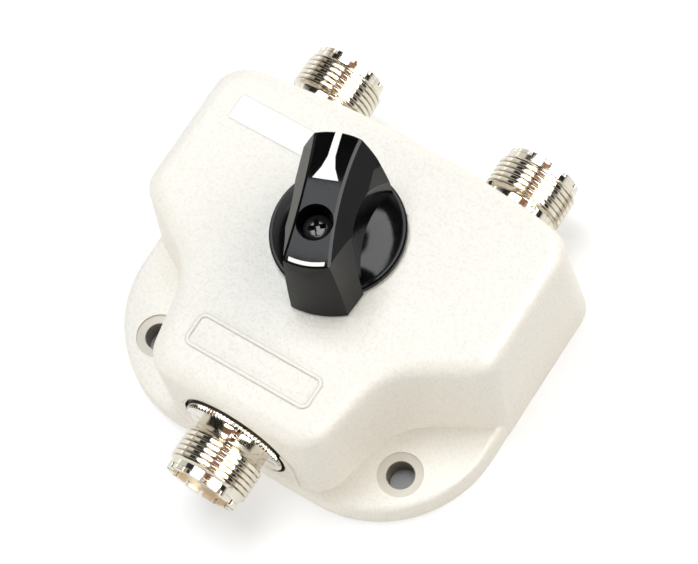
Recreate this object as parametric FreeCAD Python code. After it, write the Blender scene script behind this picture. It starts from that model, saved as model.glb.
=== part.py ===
import FreeCAD, Part
import math
import os
from FreeCAD import Vector

# Two-way coaxial antenna switch.
# Millimetres. +Z up, +X to the right, +Y to the rear, where the two outputs are.
# The origin is on the mounting face, on the axis of the selector shaft.

# ---------------------------------------------------------------- driving dimensions
# Housing
BODY_WIDTH = 78.6          # across the side walls, at the mounting face
BODY_HEIGHT = 28.4
FRONT_Y = -39.4            # front wall at the mounting face
REAR_CORNER_Y = 20.2       # where the rear wall would meet the side walls
REAR_BOW_PEAK = 5.2        # how far the bowed rear wall's lines meet behind that
REAR_BOW_RADIUS = 220.0
SIDE_DRAFT = 1.4           # how far each wall leans in over the full height
REAR_DRAFT = 0.3
FRONT_DRAFT = 1.0
BAY_DRAFT = 3.4            # the sheltered wall of each bay leans the most
NOSE_HALF_WIDTH = 18.0     # of the narrow front block, at its front wall
NOSE_ROOT_X = 22.0         # where the block's side meets the bay wall
NOSE_ROOT_Y = -21.4
BAY_CORNER_Y = -11.5       # where the bay wall meets the side wall
BAY_RADIUS = 14.0
TOP_FILLET = 3.4
ROOF_THICKNESS = 3.4
WALL_THICKNESS = 4.4

# Mounting ears
EAR_HEIGHT = 5.0
EAR_FRONT_Y = -40.0
EAR_CORNER_RADIUS = 23.6
EAR_EDGE_FILLET = 1.3
EAR_HOLE_X = 27.4
EAR_HOLE_Y = -28.2
EAR_HOLE_RADIUS = 2.65
EAR_FACE_RADIUS = 4.4
EAR_FACE_DEPTH = 0.5
EAR_INSET = 0.1            # keeps the ear slab just inside the side walls

# Bare raised frame near the front of the roof
FRAME_LENGTH = 27.0
FRAME_WIDTH = 6.8
FRAME_CENTRE_Y = -28.3
FRAME_LINE = 0.7
FRAME_HEIGHT = 0.3
FRAME_CORNER = 1.6

# Front pad round the common connector
PAD_HALF_WIDTH = 12.5
PAD_HEIGHT = 19.0
PAD_PROUD = 0.4
PAD_DEPTH = 4.0
PAD_CORNER = 6.0

# Connectors (5/8 inch - 24 thread, plug pin of 4 mm)
CONNECTOR_Z = 14.4
OUTPUT_X = 21.6            # each side of the centre line
FRONT_SEAT_Y = -38.4
REAR_SEAT_Y = 20.8
THREAD_RADIUS = 7.9375
FLANGE_RADIUS = 10.3
FLANGE_THICKNESS = 1.5
NECK_RADIUS = 7.2
NECK_LENGTH = 2.3
THREAD_LENGTH = 6.7
TIP_RADIUS = 7.3
TIP_LENGTH = 1.9
TIP_NOTCHES = 12
TIP_NOTCH_WIDTH = 0.9
SPIGOT_RADIUS = 8.0
SPIGOT_LENGTH = 7.6
SHELL_BORE_RADIUS = 6.0
INSULATOR_SETBACK = 3.2    # from the tip to the face of the insulator
CONTACT_SETBACK = 1.1
CONTACT_RADIUS = 2.75
SOCKET_RADIUS = 2.0
SOCKET_DEPTH = 11.0
SOCKET_SLOTS = 4
SOCKET_SLOT_WIDTH = 0.45
SOCKET_SLOT_DEPTH = 1.9
TAIL_RADIUS = 1.3
TAIL_LENGTH = 3.4          # beyond the insulator, inside the housing
BOSS_RADIUS = 11.2

# Back cover
COVER_THICKNESS = 1.8
COVER_MARGIN = 2.6         # rim of the housing left round the cover
SCREW_POSTS = ((31.0, 12.6), (13.6, -31.2))
POST_RADIUS = 3.3
SCREW_RADIUS = 1.5
SCREW_LENGTH = 9.0
SCREW_HEAD_RADIUS = 2.8
SCREW_HEAD_DEPTH = 1.5

# Selector shaft and its bearing
POINTER_ANGLE = 20.0       # of the knob from straight rear, at position 1
SHAFT_RADIUS = 3.0
SHAFT_FLAT = 0.5           # depth of the flat
BUSH_WALL = 2.0
BUSH_LIP = 0.8                # of the bush's flange beyond its sleeve
BUSH_FLANGE_THICKNESS = 1.0
BUSH_BOSS_DEPTH = 2.6
CLIP_REACH = 1.2              # of a retaining ring beyond the shaft
CLIP_GROOVE = 0.6
CLIP_THICKNESS = 0.7
WASHER_THICKNESS = 0.5

# Detent
DETENT_PLATE_THICKNESS = 1.8
TRACK_INNER_LAND = 0.7        # metal between the bush's flange and the ball's pocket
TRACK_OUTER_LAND = 0.9        # rim of the plate beyond the ball
BOSS_OUTER_LAND = 1.7         # wall of the boss beyond the ball
DETENT_BALL_RADIUS = 1.5
DETENT_BALL_SINK = 0.8     # how far the ball reaches down into the plate's track
DETENT_SPRING_WIRE = 0.25
DETENT_SPRING_TURNS = 3
DETENT_POCKET_ROOF = 1.4   # metal left above the spring

# Rotor and contacts
ROTOR_RADIUS = 11.6
ROTOR_THICKNESS = 2.6
ROTOR_BOSS_WALL = 1.9
BRIDGE_THICKNESS = 0.8
BRIDGE_RING_OUTER = 7.4
BRIDGE_RING_INNER = 4.4
BRIDGE_ARM_WIDTH = 5.0
BRIDGE_REACH = 14.8
RIVET_RADIUS = 0.8
LEAF_THICKNESS = 0.4
LEAF_DROP = 0.6            # of the leaves' top face below the connector axis
LEAF_WIDTH = 4.0
LEAF_JOGGLE = 0.8          # how far the common leaf dips between its ends
LEAF_REACH = 12.4          # radius at which an output leaf meets the bridge arm
FINGER_WIDTH = 3.0
FINGER_THICKNESS = 0.5

# Knob
KNOB_SKIRT_RADIUS = 12.7
KNOB_SKIRT_THICKNESS = 1.3
KNOB_SKIRT_BEVEL = 0.3
KNOB_BODY_RADIUS = 12.0
KNOB_DOME_HEIGHT = 6.8        # of the dome's crown above the housing
KNOB_EDGE_ROUND = 0.8         # where the dome meets the skirt
KNOB_HEIGHT = 17.3            # of the bar's ends above the housing
KNOB_CROWN = 1.5              # how much higher the middle of the bar stands
NOSE_TOP_RADIUS = 12.35       # both ends of the bar are rounded about the shaft
NOSE_FOOT_RADIUS = 12.0
TAIL_TOP_RADIUS = 13.9
TAIL_FOOT_RADIUS = 16.3
BAR_TOP_HALF = 4.35
BAR_SHOULDER_SLOPE = 0.6      # how fast the shoulders widen downwards from the top
BAR_SIDE_TOP_HALF = 5.7       # of the flanks below the shoulders, if they reached the top
BAR_FOOT_HALF = 10.2
BAR_TAPER_U = 4.0             # where the flanks start to close in towards the tail
BAR_TAIL_FOOT_HALF = 4.9      # at the end of the tail
BAR_TAIL_TOP_HALF = 3.75
BAR_BEVEL = 0.35              # along both long edges of the top
BAR_END_ROUND = 0.35
SCOOP_RADIUS = 28.0           # of the hollow in each flank
SCOOP_HALF = 6.0              # from the bar's middle to the bottom of the hollow
SCOOP_U = -3.0
KNOB_SCREW_OFFSET = 5.7       # towards the tail of the bar
KNOB_RECESS_RADIUS = 3.4
KNOB_RECESS_DEPTH = 3.4
KNOB_SCREW_HEAD_RADIUS = 2.75
KNOB_SCREW_HEAD_HEIGHT = 1.8
HUB_FLANGE_RADIUS = 8.8
HUB_FLANGE_THICKNESS = 2.2
HUB_BOSS_RADIUS = 4.4
HUB_BOSS_HEIGHT = 9.0
ARROW_BASE_U = 2.5
ARROW_WAIST_U = 7.2
ARROW_BASE_HALF = 2.4
ARROW_MIDDLE_HALF = 1.25      # half-way from base to waist, so that the sides are hollow
ARROW_WAIST_HALF = 0.68
ARROW_TIP_HALF = 0.58
INLAY_DEPTH = 0.35
LINE_RADIUS = 13.2            # of the tail line about the shaft
LINE_WIDTH = 0.7
LINE_HALF = 3.3

# label, on the roof beside the knob
LABEL_LENGTH = 22.0
LABEL_WIDTH = 5.4
LABEL_X = -31.2            # left end
LABEL_Y = 9.3              # lower edge
LABEL_THICKNESS = 0.12

# Clearances
PRESS_GAP = 0.02           # between a pressed piece and its bore, on the radius
RUNNING_GAP = 0.05         # between the shaft and its bearing, on the radius
FLANGE_GAP = 0.6           # round a connector's flange, on the radius
CONTACT_GAP = 0.3          # between sprung contacts that would rub
KNOB_GAP = 0.4             # under the knob's skirt
COVER_GAP = 0.15
SCREW_CLEARANCE = 0.2
DETENT_GAP = 0.2
WASHER_GAP = 0.05
POCKET_GAP = 0.1
SPRING_GAP = 0.03
SHAFT_END_GAP = 0.2
SEAT_GAP = 0.0

# ---------------------------------------------------------------- derived levels
BUSH_RADIUS = SHAFT_RADIUS + BUSH_WALL
BUSH_FLANGE_RADIUS = BUSH_RADIUS + BUSH_LIP
DETENT_TRACK_RADIUS = BUSH_FLANGE_RADIUS + TRACK_INNER_LAND + DETENT_BALL_RADIUS
DETENT_PLATE_RADIUS = DETENT_TRACK_RADIUS + DETENT_BALL_RADIUS + TRACK_OUTER_LAND
BUSH_BOSS_RADIUS = DETENT_TRACK_RADIUS + DETENT_BALL_RADIUS + BOSS_OUTER_LAND
CLIP_RADIUS = SHAFT_RADIUS + CLIP_REACH
ROTOR_BOSS_RADIUS = SHAFT_RADIUS + ROTOR_BOSS_WALL
ROOF_UNDERSIDE = BODY_HEIGHT - ROOF_THICKNESS
BUSH_BOTTOM = ROOF_UNDERSIDE - BUSH_BOSS_DEPTH
BUSH_FLANGE_TOP = BUSH_BOTTOM + BUSH_FLANGE_THICKNESS
DETENT_TOP = BUSH_BOTTOM - WASHER_THICKNESS
DETENT_BOTTOM = DETENT_TOP - DETENT_PLATE_THICKNESS
DETENT_BALL_Z = DETENT_TOP + DETENT_BALL_RADIUS - DETENT_BALL_SINK
LEAF_TOP = CONNECTOR_Z - LEAF_DROP
BRIDGE_BOTTOM = LEAF_TOP + CONTACT_GAP
ROTOR_BOTTOM = BRIDGE_BOTTOM + BRIDGE_THICKNESS
ROTOR_TOP = ROTOR_BOTTOM + ROTOR_THICKNESS
SHAFT_BOTTOM = BRIDGE_BOTTOM - 1.9
SHAFT_TOP = BODY_HEIGHT + HUB_BOSS_HEIGHT + 1.0
SHAFT_RING_BOTTOM = BODY_HEIGHT + 0.1
HUB_FLAT_BOTTOM = SHAFT_RING_BOTTOM + CLIP_THICKNESS + 0.2
KNOB_BASE = BODY_HEIGHT + KNOB_GAP
KNOB_TOP = BODY_HEIGHT + KNOB_HEIGHT
SHELL_LENGTH = FLANGE_THICKNESS + NECK_LENGTH + THREAD_LENGTH + TIP_LENGTH
Z_AXIS = Vector(0, 0, 1)
FILLET_TOLERANCE = 0.01


# ---------------------------------------------------------------- helpers
def rounded_wire(corners, z):
    """Closed wire at height z through (x, y, radius) corners joined by tangent arcs."""
    count = len(corners)
    bends = []
    for i in range(count):
        here = Vector(corners[i][0], corners[i][1], z)
        before = Vector(corners[i - 1][0], corners[i - 1][1], z)
        after = Vector(corners[(i + 1) % count][0], corners[(i + 1) % count][1], z)
        incoming = (here - before).normalize()
        outgoing = (after - here).normalize()
        turn = incoming.getAngle(outgoing)
        radius = corners[i][2]
        reach = radius * math.tan(turn / 2)
        bisector = (outgoing - incoming).normalize()
        middle = here + bisector * (radius / math.cos(turn / 2) - radius)
        bends.append((here - incoming * reach, middle, here + outgoing * reach))
    edges = []
    for i in range(count):
        start = bends[i - 1][2]
        edges.append(Part.LineSegment(start, bends[i][0]).toShape())
        edges.append(Part.Arc(bends[i][0], bends[i][1], bends[i][2]).toShape())
    return Part.Wire(edges)


def both_sides(right_half):
    """Corner list of a shape symmetric about x = 0, from its right half, rear to front."""
    left_half = [(-x, y, radius) for x, y, radius in reversed(right_half)]
    return right_half + left_half


def cylinder(radius, z_low, z_high, x=0.0, y=0.0):
    return Part.makeCylinder(radius, z_high - z_low, Vector(x, y, z_low), Z_AXIS)


def tube(outer, inner, z_low, z_high, x=0.0, y=0.0):
    return cylinder(outer, z_low, z_high, x, y).cut(cylinder(inner, z_low, z_high, x, y))


def box(x_low, x_high, y_low, y_high, z_low, z_high):
    corner = Vector(x_low, y_low, z_low)
    return Part.makeBox(x_high - x_low, y_high - y_low, z_high - z_low, corner)


def prism(points, z_low, z_high):
    """Upright prism over a closed polygon of (x, y) points."""
    loop = [Vector(x, y, z_low) for x, y in points]
    face = Part.Face(Part.makePolygon(loop + [loop[0]]))
    return face.extrude(Vector(0, 0, z_high - z_low))


def turned(profile):
    """Solid of revolution about the z axis from (radius, z) points."""
    loop = [Vector(radius, 0, z) for radius, z in profile]
    face = Part.Face(Part.makePolygon(loop + [loop[0]]))
    return face.revolve(Vector(0, 0, 0), Z_AXIS, 360)


def edges_at(shape, z):
    """Edges that lie wholly at height z."""
    found = []
    for edge in shape.Edges:
        bounds = edge.BoundBox
        if abs(bounds.ZMin - z) < FILLET_TOLERANCE and abs(bounds.ZMax - z) < FILLET_TOLERANCE:
            found.append(edge)
    return found


def to_position_1(shape):
    """Turn a piece drawn with its pointer along +Y to the selector's first position."""
    shape.rotate(Vector(0, 0, 0), Z_AXIS, POINTER_ANGLE)
    return shape


def place_connector(shape, x, seat_y, faces_rear):
    """Move a piece drawn along +Z, seat at z = 0, onto its wall of the housing."""
    if faces_rear:
        shape.rotate(Vector(0, 0, 0), Vector(1, 0, 0), -90)
    else:
        shape.rotate(Vector(0, 0, 0), Vector(1, 0, 0), 90)
    shape.translate(Vector(x, seat_y, CONNECTOR_Z))
    return shape


def joined(shapes):
    result = shapes[0]
    for shape in shapes[1:]:
        result = result.fuse(shape)
    return result.removeSplitter()


CONNECTORS = (
    ("common", 0.0, FRONT_SEAT_Y, False),
    ("port_1", -OUTPUT_X, REAR_SEAT_Y, True),
    ("port_2", OUTPUT_X, REAR_SEAT_Y, True),
)
ALL_POSTS = [(sign * x, y) for x, y in SCREW_POSTS for sign in (-1, 1)]


# ---------------------------------------------------------------- housing
def body_corners(level):
    """Outline of the raised body at a level from 0, the base, to 1, the roof."""
    half = BODY_WIDTH / 2 - SIDE_DRAFT * level
    rear = REAR_CORNER_Y - REAR_DRAFT * level
    front = FRONT_Y + FRONT_DRAFT * level
    bay = BAY_DRAFT * level
    right = [
        (0.0, rear + REAR_BOW_PEAK, REAR_BOW_RADIUS),
        (half, rear, 6.0 + level),
        (half, BAY_CORNER_Y + 0.7 * bay, 3.0 + 2.5 * level),
        (NOSE_ROOT_X, NOSE_ROOT_Y + bay, BAY_RADIUS),
        (NOSE_HALF_WIDTH, front, 5.5 + level),
    ]
    left = [(-x, y, radius) for x, y, radius in reversed(right[1:])]
    return right + left


def ear_corners(inset):
    """Outline of the base slab whose front corners are the mounting ears."""
    half = BODY_WIDTH / 2 - EAR_INSET - inset
    rear = REAR_CORNER_Y - 1.0
    right = [(half, rear, 6.0), (half, EAR_FRONT_Y + inset, EAR_CORNER_RADIUS - inset)]
    return both_sides(right)


def housing_body():
    """Raised body with drafted walls and a rounded roof edge, solid inside."""
    base = rounded_wire(body_corners(0.0), 0.0)
    roof = rounded_wire(body_corners(1.0), BODY_HEIGHT)
    solid = Part.makeLoft([base, roof], True, True)
    return solid.makeFillet(TOP_FILLET, edges_at(solid, BODY_HEIGHT))


def ear_slab():
    lower = rounded_wire(ear_corners(0.0), 0.0)
    upper = rounded_wire(ear_corners(0.3), EAR_HEIGHT)
    solid = Part.makeLoft([lower, upper], True, True)
    return solid.makeFillet(EAR_EDGE_FILLET, edges_at(solid, EAR_HEIGHT))


def front_pad():
    """Flat pad on the front wall that carries the common connector."""
    corners = [
        (-PAD_HALF_WIDTH, 0.0, 0.01),
        (-PAD_HALF_WIDTH, PAD_HEIGHT, PAD_CORNER),
        (PAD_HALF_WIDTH, PAD_HEIGHT, PAD_CORNER),
        (PAD_HALF_WIDTH, 0.0, 0.01),
    ]
    face = Part.Face(rounded_wire(corners, 0.0))
    pad = face.extrude(Vector(0, 0, PAD_DEPTH))
    lean = math.degrees(math.atan2(FRONT_DRAFT, BODY_HEIGHT))
    pad.rotate(Vector(0, 0, 0), Vector(1, 0, 0), 90 - lean)
    pad.translate(Vector(0, FRONT_Y + PAD_DEPTH - PAD_PROUD, 0))
    return pad


def raised_frame():
    """Bare rounded frame cast on the roof."""
    def slab(grow):
        half_x = FRAME_LENGTH / 2 + grow
        half_y = FRAME_WIDTH / 2 + grow
        corners = both_sides([(half_x, half_y, FRAME_CORNER + grow),
                              (half_x, -half_y, FRAME_CORNER + grow)])
        face = Part.Face(rounded_wire(corners, BODY_HEIGHT - 0.2))
        return face.extrude(Vector(0, 0, FRAME_HEIGHT + 0.2))
    frame = slab(0.0).cut(slab(-FRAME_LINE))
    frame.translate(Vector(0, FRAME_CENTRE_Y, 0))
    return frame


def inner_outline(margin, z):
    """Outline of the raised body at the base, moved inwards by a margin."""
    return rounded_wire(body_corners(0.0), z).makeOffset2D(-margin)


def cavity():
    """Space under the roof, left round the connector bosses and screw posts."""
    outline = Part.Face(inner_outline(WALL_THICKNESS, COVER_THICKNESS - 0.1))
    space = outline.extrude(Vector(0, 0, ROOF_UNDERSIDE - COVER_THICKNESS + 0.1))
    keep = [cylinder(POST_RADIUS, COVER_THICKNESS, ROOF_UNDERSIDE, x, y) for x, y in ALL_POSTS]
    keep.append(cylinder(BUSH_BOSS_RADIUS, BUSH_BOTTOM, ROOF_UNDERSIDE))
    for _, x, seat_y, faces_rear in CONNECTORS:
        boss = Part.makeCylinder(BOSS_RADIUS, SPIGOT_LENGTH, Vector(0, 0, -SPIGOT_LENGTH))
        keep.append(place_connector(boss, x, seat_y, faces_rear))
    for piece in keep:
        space = space.cut(piece)
    return space


def make_housing():
    body = housing_body().fuse(ear_slab())
    body = body.fuse(front_pad().common(box(-50, 50, -60, 0, 0, ROOF_UNDERSIDE)))
    body = body.fuse(raised_frame())
    body = body.cut(cavity())
    recess = Part.Face(inner_outline(COVER_MARGIN, -1.0)).extrude(Vector(0, 0, 1 + COVER_THICKNESS))
    body = body.cut(recess)
    for sign in (-1, 1):
        x = sign * EAR_HOLE_X
        body = body.cut(cylinder(EAR_HOLE_RADIUS, -1, EAR_HEIGHT + 1, x, EAR_HOLE_Y))
        spot_low = EAR_HEIGHT - EAR_FACE_DEPTH
        body = body.cut(cylinder(EAR_FACE_RADIUS, spot_low, EAR_HEIGHT + 1, x, EAR_HOLE_Y))
    for _, x, seat_y, faces_rear in CONNECTORS:
        bore = Part.makeCylinder(SPIGOT_RADIUS, 40, Vector(0, 0, -SPIGOT_LENGTH - 1))
        seat = Part.makeCylinder(FLANGE_RADIUS + FLANGE_GAP, 12)
        body = body.cut(place_connector(bore, x, seat_y, faces_rear))
        body = body.cut(place_connector(seat, x, seat_y, faces_rear))
    body = body.cut(cylinder(BUSH_RADIUS, BUSH_BOTTOM - 1, BODY_HEIGHT + 1))
    body = body.cut(cylinder(BUSH_FLANGE_RADIUS + PRESS_GAP, BUSH_BOTTOM - 1, BUSH_FLANGE_TOP))
    body = body.cut(detent_pocket())
    for x, y in ALL_POSTS:
        body = body.cut(cylinder(SCREW_RADIUS, COVER_THICKNESS - 1, SCREW_LENGTH + 1, x, y))
    return body.removeSplitter()


# ---------------------------------------------------------------- connectors
def make_shell(x, seat_y, faces_rear):
    """Connector shell: spigot, flange, neck, threaded barrel and castellated tip."""
    neck_start = FLANGE_THICKNESS
    thread_start = neck_start + NECK_LENGTH
    tip_start = thread_start + THREAD_LENGTH
    chamfer = 0.5
    profile = [
        (SHELL_BORE_RADIUS, -SPIGOT_LENGTH),
        (SPIGOT_RADIUS - PRESS_GAP, -SPIGOT_LENGTH),
        (SPIGOT_RADIUS - PRESS_GAP, SEAT_GAP),
        (FLANGE_RADIUS, SEAT_GAP),
        (FLANGE_RADIUS, FLANGE_THICKNESS),
        (NECK_RADIUS, FLANGE_THICKNESS),
        (NECK_RADIUS, thread_start - chamfer),
        (THREAD_RADIUS, thread_start),
        (THREAD_RADIUS, tip_start - chamfer),
        (TIP_RADIUS, tip_start),
        (TIP_RADIUS, tip_start + TIP_LENGTH),
        (SHELL_BORE_RADIUS, tip_start + TIP_LENGTH),
    ]
    shell = turned(profile)
    notch_low = tip_start + 0.3
    for i in range(TIP_NOTCHES):
        notch = box(0, TIP_RADIUS + 1, -TIP_NOTCH_WIDTH / 2, TIP_NOTCH_WIDTH / 2,
                    notch_low, SHELL_LENGTH + 1)
        notch.rotate(Vector(0, 0, 0), Z_AXIS, 360.0 * (i + 0.5) / TIP_NOTCHES)
        shell = shell.cut(notch)
    return place_connector(shell, x, seat_y, faces_rear)


def make_insulator(x, seat_y, faces_rear):
    top = SHELL_LENGTH - INSULATOR_SETBACK
    profile = [
        (CONTACT_RADIUS, -SPIGOT_LENGTH),
        (SHELL_BORE_RADIUS - PRESS_GAP, -SPIGOT_LENGTH),
        (SHELL_BORE_RADIUS - PRESS_GAP, top),
        (CONTACT_RADIUS, top),
    ]
    return place_connector(turned(profile), x, seat_y, faces_rear)


def make_contact(x, seat_y, faces_rear):
    """Centre contact: slotted socket in front, flatted solder tail behind."""
    top = SHELL_LENGTH - CONTACT_SETBACK
    outer = CONTACT_RADIUS - PRESS_GAP
    profile = [
        (0, -SPIGOT_LENGTH - TAIL_LENGTH),
        (TAIL_RADIUS, -SPIGOT_LENGTH - TAIL_LENGTH),
        (TAIL_RADIUS, -SPIGOT_LENGTH),
        (outer, -SPIGOT_LENGTH),
        (outer, top),
        (SOCKET_RADIUS, top),
        (SOCKET_RADIUS, top - SOCKET_DEPTH),
        (0, top - SOCKET_DEPTH),
    ]
    contact = turned(profile)
    for i in range(SOCKET_SLOTS):
        slot = box(0, outer + 1, -SOCKET_SLOT_WIDTH / 2, SOCKET_SLOT_WIDTH / 2,
                   top - SOCKET_SLOT_DEPTH, top + 1)
        slot.rotate(Vector(0, 0, 0), Z_AXIS, 360.0 * (i + 0.5) / SOCKET_SLOTS)
        contact = contact.cut(slot)
    contact = place_connector(contact, x, seat_y, faces_rear)
    tail_y = seat_y - SPIGOT_LENGTH if faces_rear else seat_y + SPIGOT_LENGTH
    tail_end = tail_y - TAIL_LENGTH if faces_rear else tail_y + TAIL_LENGTH
    flat = box(x - 3, x + 3, min(tail_y, tail_end), max(tail_y, tail_end), 0, LEAF_TOP)
    return contact.cut(flat)


# ---------------------------------------------------------------- contact leaves
def strip(path, width, direction):
    """Bent strip: a (run, z) polyline of the middle line, thickened and widened sideways."""
    half = LEAF_THICKNESS / 2
    upper = []
    lower = []
    count = len(path)
    for i in range(count):
        before = path[max(i - 1, 0)]
        after = path[min(i + 1, count - 1)]
        length = math.hypot(after[0] - before[0], after[1] - before[1])
        normal = (-(after[1] - before[1]) / length, (after[0] - before[0]) / length)
        upper.append((path[i][0] + normal[0] * half, path[i][1] + normal[1] * half))
        lower.append((path[i][0] - normal[0] * half, path[i][1] - normal[1] * half))
    side = Vector(-direction.y, direction.x, 0)
    loop = []
    for run, z in upper + lower[::-1]:
        loop.append(direction * run + Vector(0, 0, z) - side * (width / 2))
    face = Part.Face(Part.makePolygon(loop + [loop[0]]))
    return face.extrude(side * width)


def make_common_leaf():
    """Leaf from the common contact's tail to the ring of the bridge."""
    half = LEAF_THICKNESS / 2
    tail_y = FRONT_SEAT_Y + SPIGOT_LENGTH
    ring_y = -(BRIDGE_RING_OUTER + BRIDGE_RING_INNER) / 2
    path = [
        (tail_y + 0.3, LEAF_TOP - half),
        (tail_y + TAIL_LENGTH + 0.6, LEAF_TOP - half),
        (tail_y + TAIL_LENGTH + 3.0, LEAF_TOP - half - LEAF_JOGGLE),
        (ring_y - 5.0, LEAF_TOP - half - LEAF_JOGGLE),
        (ring_y - 2.0, LEAF_TOP - half),
        (ring_y + 0.9, LEAF_TOP - half),
    ]
    return strip(path, LEAF_WIDTH, Vector(0, 1, 0))


def make_output_leaf(sign):
    """Leaf from an output contact's tail to where the bridge arm comes under it."""
    angle = math.radians(POINTER_ANGLE)
    tip_x = LEAF_REACH * math.sin(angle)
    tip_y = LEAF_REACH * math.cos(angle)
    tail_y = REAR_SEAT_Y - SPIGOT_LENGTH - TAIL_LENGTH / 2
    outer_x = OUTPUT_X + LEAF_WIDTH / 2
    half_width = LEAF_WIDTH / 2
    points = [
        (outer_x, tail_y - half_width + 0.4),
        (outer_x, tail_y + half_width - 0.4),
        (OUTPUT_X - half_width, tail_y + half_width - 0.4),
        (tip_x + 2.0, tip_y + half_width * 0.6),
        (tip_x - 1.2, tip_y + half_width * 0.6),
        (tip_x - 1.2, tip_y - half_width * 0.6),
        (tip_x + 2.0, tip_y - half_width * 0.6),
        (OUTPUT_X - half_width, tail_y - half_width + 0.4),
    ]
    leaf = prism([(sign * x, y) for x, y in points], LEAF_TOP - LEAF_THICKNESS, LEAF_TOP)
    return leaf


def make_ground_finger(sign):
    """Angle spring on the back cover that an idle output leaf drops onto."""
    angle = math.radians(POINTER_ANGLE)
    x = sign * (LEAF_REACH * math.sin(angle) + 4.6)
    y = LEAF_REACH * math.cos(angle) - 0.6
    top = LEAF_TOP - LEAF_THICKNESS - CONTACT_GAP
    half = FINGER_WIDTH / 2
    foot = box(x - half, x + half, y - 6.0, y, COVER_THICKNESS, COVER_THICKNESS + FINGER_THICKNESS)
    upright = box(x - half, x + half, y - FINGER_THICKNESS, y, COVER_THICKNESS, top)
    head = box(x - half, x + half, y - FINGER_THICKNESS, y + 1.8, top - FINGER_THICKNESS, top)
    return joined([foot, upright, head])


# ---------------------------------------------------------------- shaft and rotor
def make_shaft():
    """Selector shaft with a collar under the bearing and a flat in the knob."""
    shaft = cylinder(SHAFT_RADIUS, SHAFT_BOTTOM, SHAFT_TOP)
    knob_flat = box(-10, 10, SHAFT_RADIUS - SHAFT_FLAT, 10, HUB_FLAT_BOTTOM, SHAFT_TOP + 1)
    rotor_flat = box(-10, 10, SHAFT_RADIUS - SHAFT_FLAT, 10, SHAFT_BOTTOM - 1, DETENT_TOP)
    groove = tube(SHAFT_RADIUS + 1, SHAFT_RADIUS - CLIP_GROOVE,
                  SHAFT_RING_BOTTOM, SHAFT_RING_BOTTOM + CLIP_THICKNESS)
    lower_groove = tube(SHAFT_RADIUS + 1, SHAFT_RADIUS - CLIP_GROOVE,
                        BRIDGE_BOTTOM - CLIP_THICKNESS, BRIDGE_BOTTOM)
    shaft = shaft.cut(knob_flat).cut(rotor_flat).cut(groove).cut(lower_groove)
    return to_position_1(shaft)


def d_bore(z_low, z_high):
    """Space for the shaft where it has its flat."""
    radius = SHAFT_RADIUS + PRESS_GAP
    space = cylinder(radius, z_low, z_high)
    return space.cut(box(-10, 10, SHAFT_RADIUS - SHAFT_FLAT + PRESS_GAP, 10, z_low, z_high))


def retaining_ring(z_low):
    """Open ring that snaps into a groove of the shaft."""
    ring = tube(CLIP_RADIUS, SHAFT_RADIUS - CLIP_GROOVE + PRESS_GAP, z_low + 0.02,
                z_low + CLIP_THICKNESS - 0.02)
    mouth = box(-1.6, 1.6, -CLIP_RADIUS - 1, 0, z_low - 1, z_low + CLIP_THICKNESS + 1)
    return ring.cut(mouth)


def make_shaft_bush():
    outer = cylinder(BUSH_RADIUS - PRESS_GAP, BUSH_BOTTOM, BODY_HEIGHT)
    flange = cylinder(BUSH_FLANGE_RADIUS, BUSH_BOTTOM, BUSH_FLANGE_TOP)
    bore = cylinder(SHAFT_RADIUS + RUNNING_GAP, BUSH_BOTTOM - 1, BODY_HEIGHT + 1)
    return joined([outer, flange]).cut(bore)


def make_wave_washer():
    """Spring washer, drawn flat, between the bearing and the detent plate."""
    outer = BUSH_FLANGE_RADIUS - 0.6
    return tube(outer, SHAFT_RADIUS + 0.3, DETENT_TOP + WASHER_GAP, BUSH_BOTTOM - WASHER_GAP)


def detent_pocket():
    """Blind bore above the track that guides the detent ball and its spring."""
    top = BODY_HEIGHT - DETENT_POCKET_ROOF
    radius = DETENT_BALL_RADIUS + POCKET_GAP
    pocket = cylinder(radius, DETENT_TOP - 1, top, 0, -DETENT_TRACK_RADIUS)
    pocket.rotate(Vector(0, 0, 0), Z_AXIS, POINTER_ANGLE)
    return pocket


def make_detent_plate():
    """Steel plate whose track has a dimple at each end for the ball."""
    plate = cylinder(DETENT_PLATE_RADIUS, DETENT_BOTTOM, DETENT_TOP)
    groove_section = Part.makeCircle(DETENT_BALL_RADIUS + DETENT_GAP,
                                     Vector(DETENT_TRACK_RADIUS, 0, DETENT_BALL_Z),
                                     Vector(0, 1, 0))
    face = Part.Face(Part.Wire([groove_section]))
    sweep = 2 * POINTER_ANGLE
    track = face.revolve(Vector(0, 0, 0), Z_AXIS, sweep)
    track.rotate(Vector(0, 0, 0), Z_AXIS, -90)
    plate = plate.cut(track)
    for angle in (0.0, sweep):
        dimple = Part.makeSphere(DETENT_BALL_RADIUS + DETENT_GAP + 0.15,
                                 Vector(DETENT_TRACK_RADIUS, 0, DETENT_BALL_Z))
        dimple.rotate(Vector(0, 0, 0), Z_AXIS, angle - 90)
        plate = plate.cut(dimple)
    plate = plate.cut(d_bore(DETENT_BOTTOM - 1, DETENT_TOP + 1))
    return to_position_1(plate)


def make_detent_ball():
    ball = Part.makeSphere(DETENT_BALL_RADIUS, Vector(0, -DETENT_TRACK_RADIUS, DETENT_BALL_Z))
    return to_position_1(ball)


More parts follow.
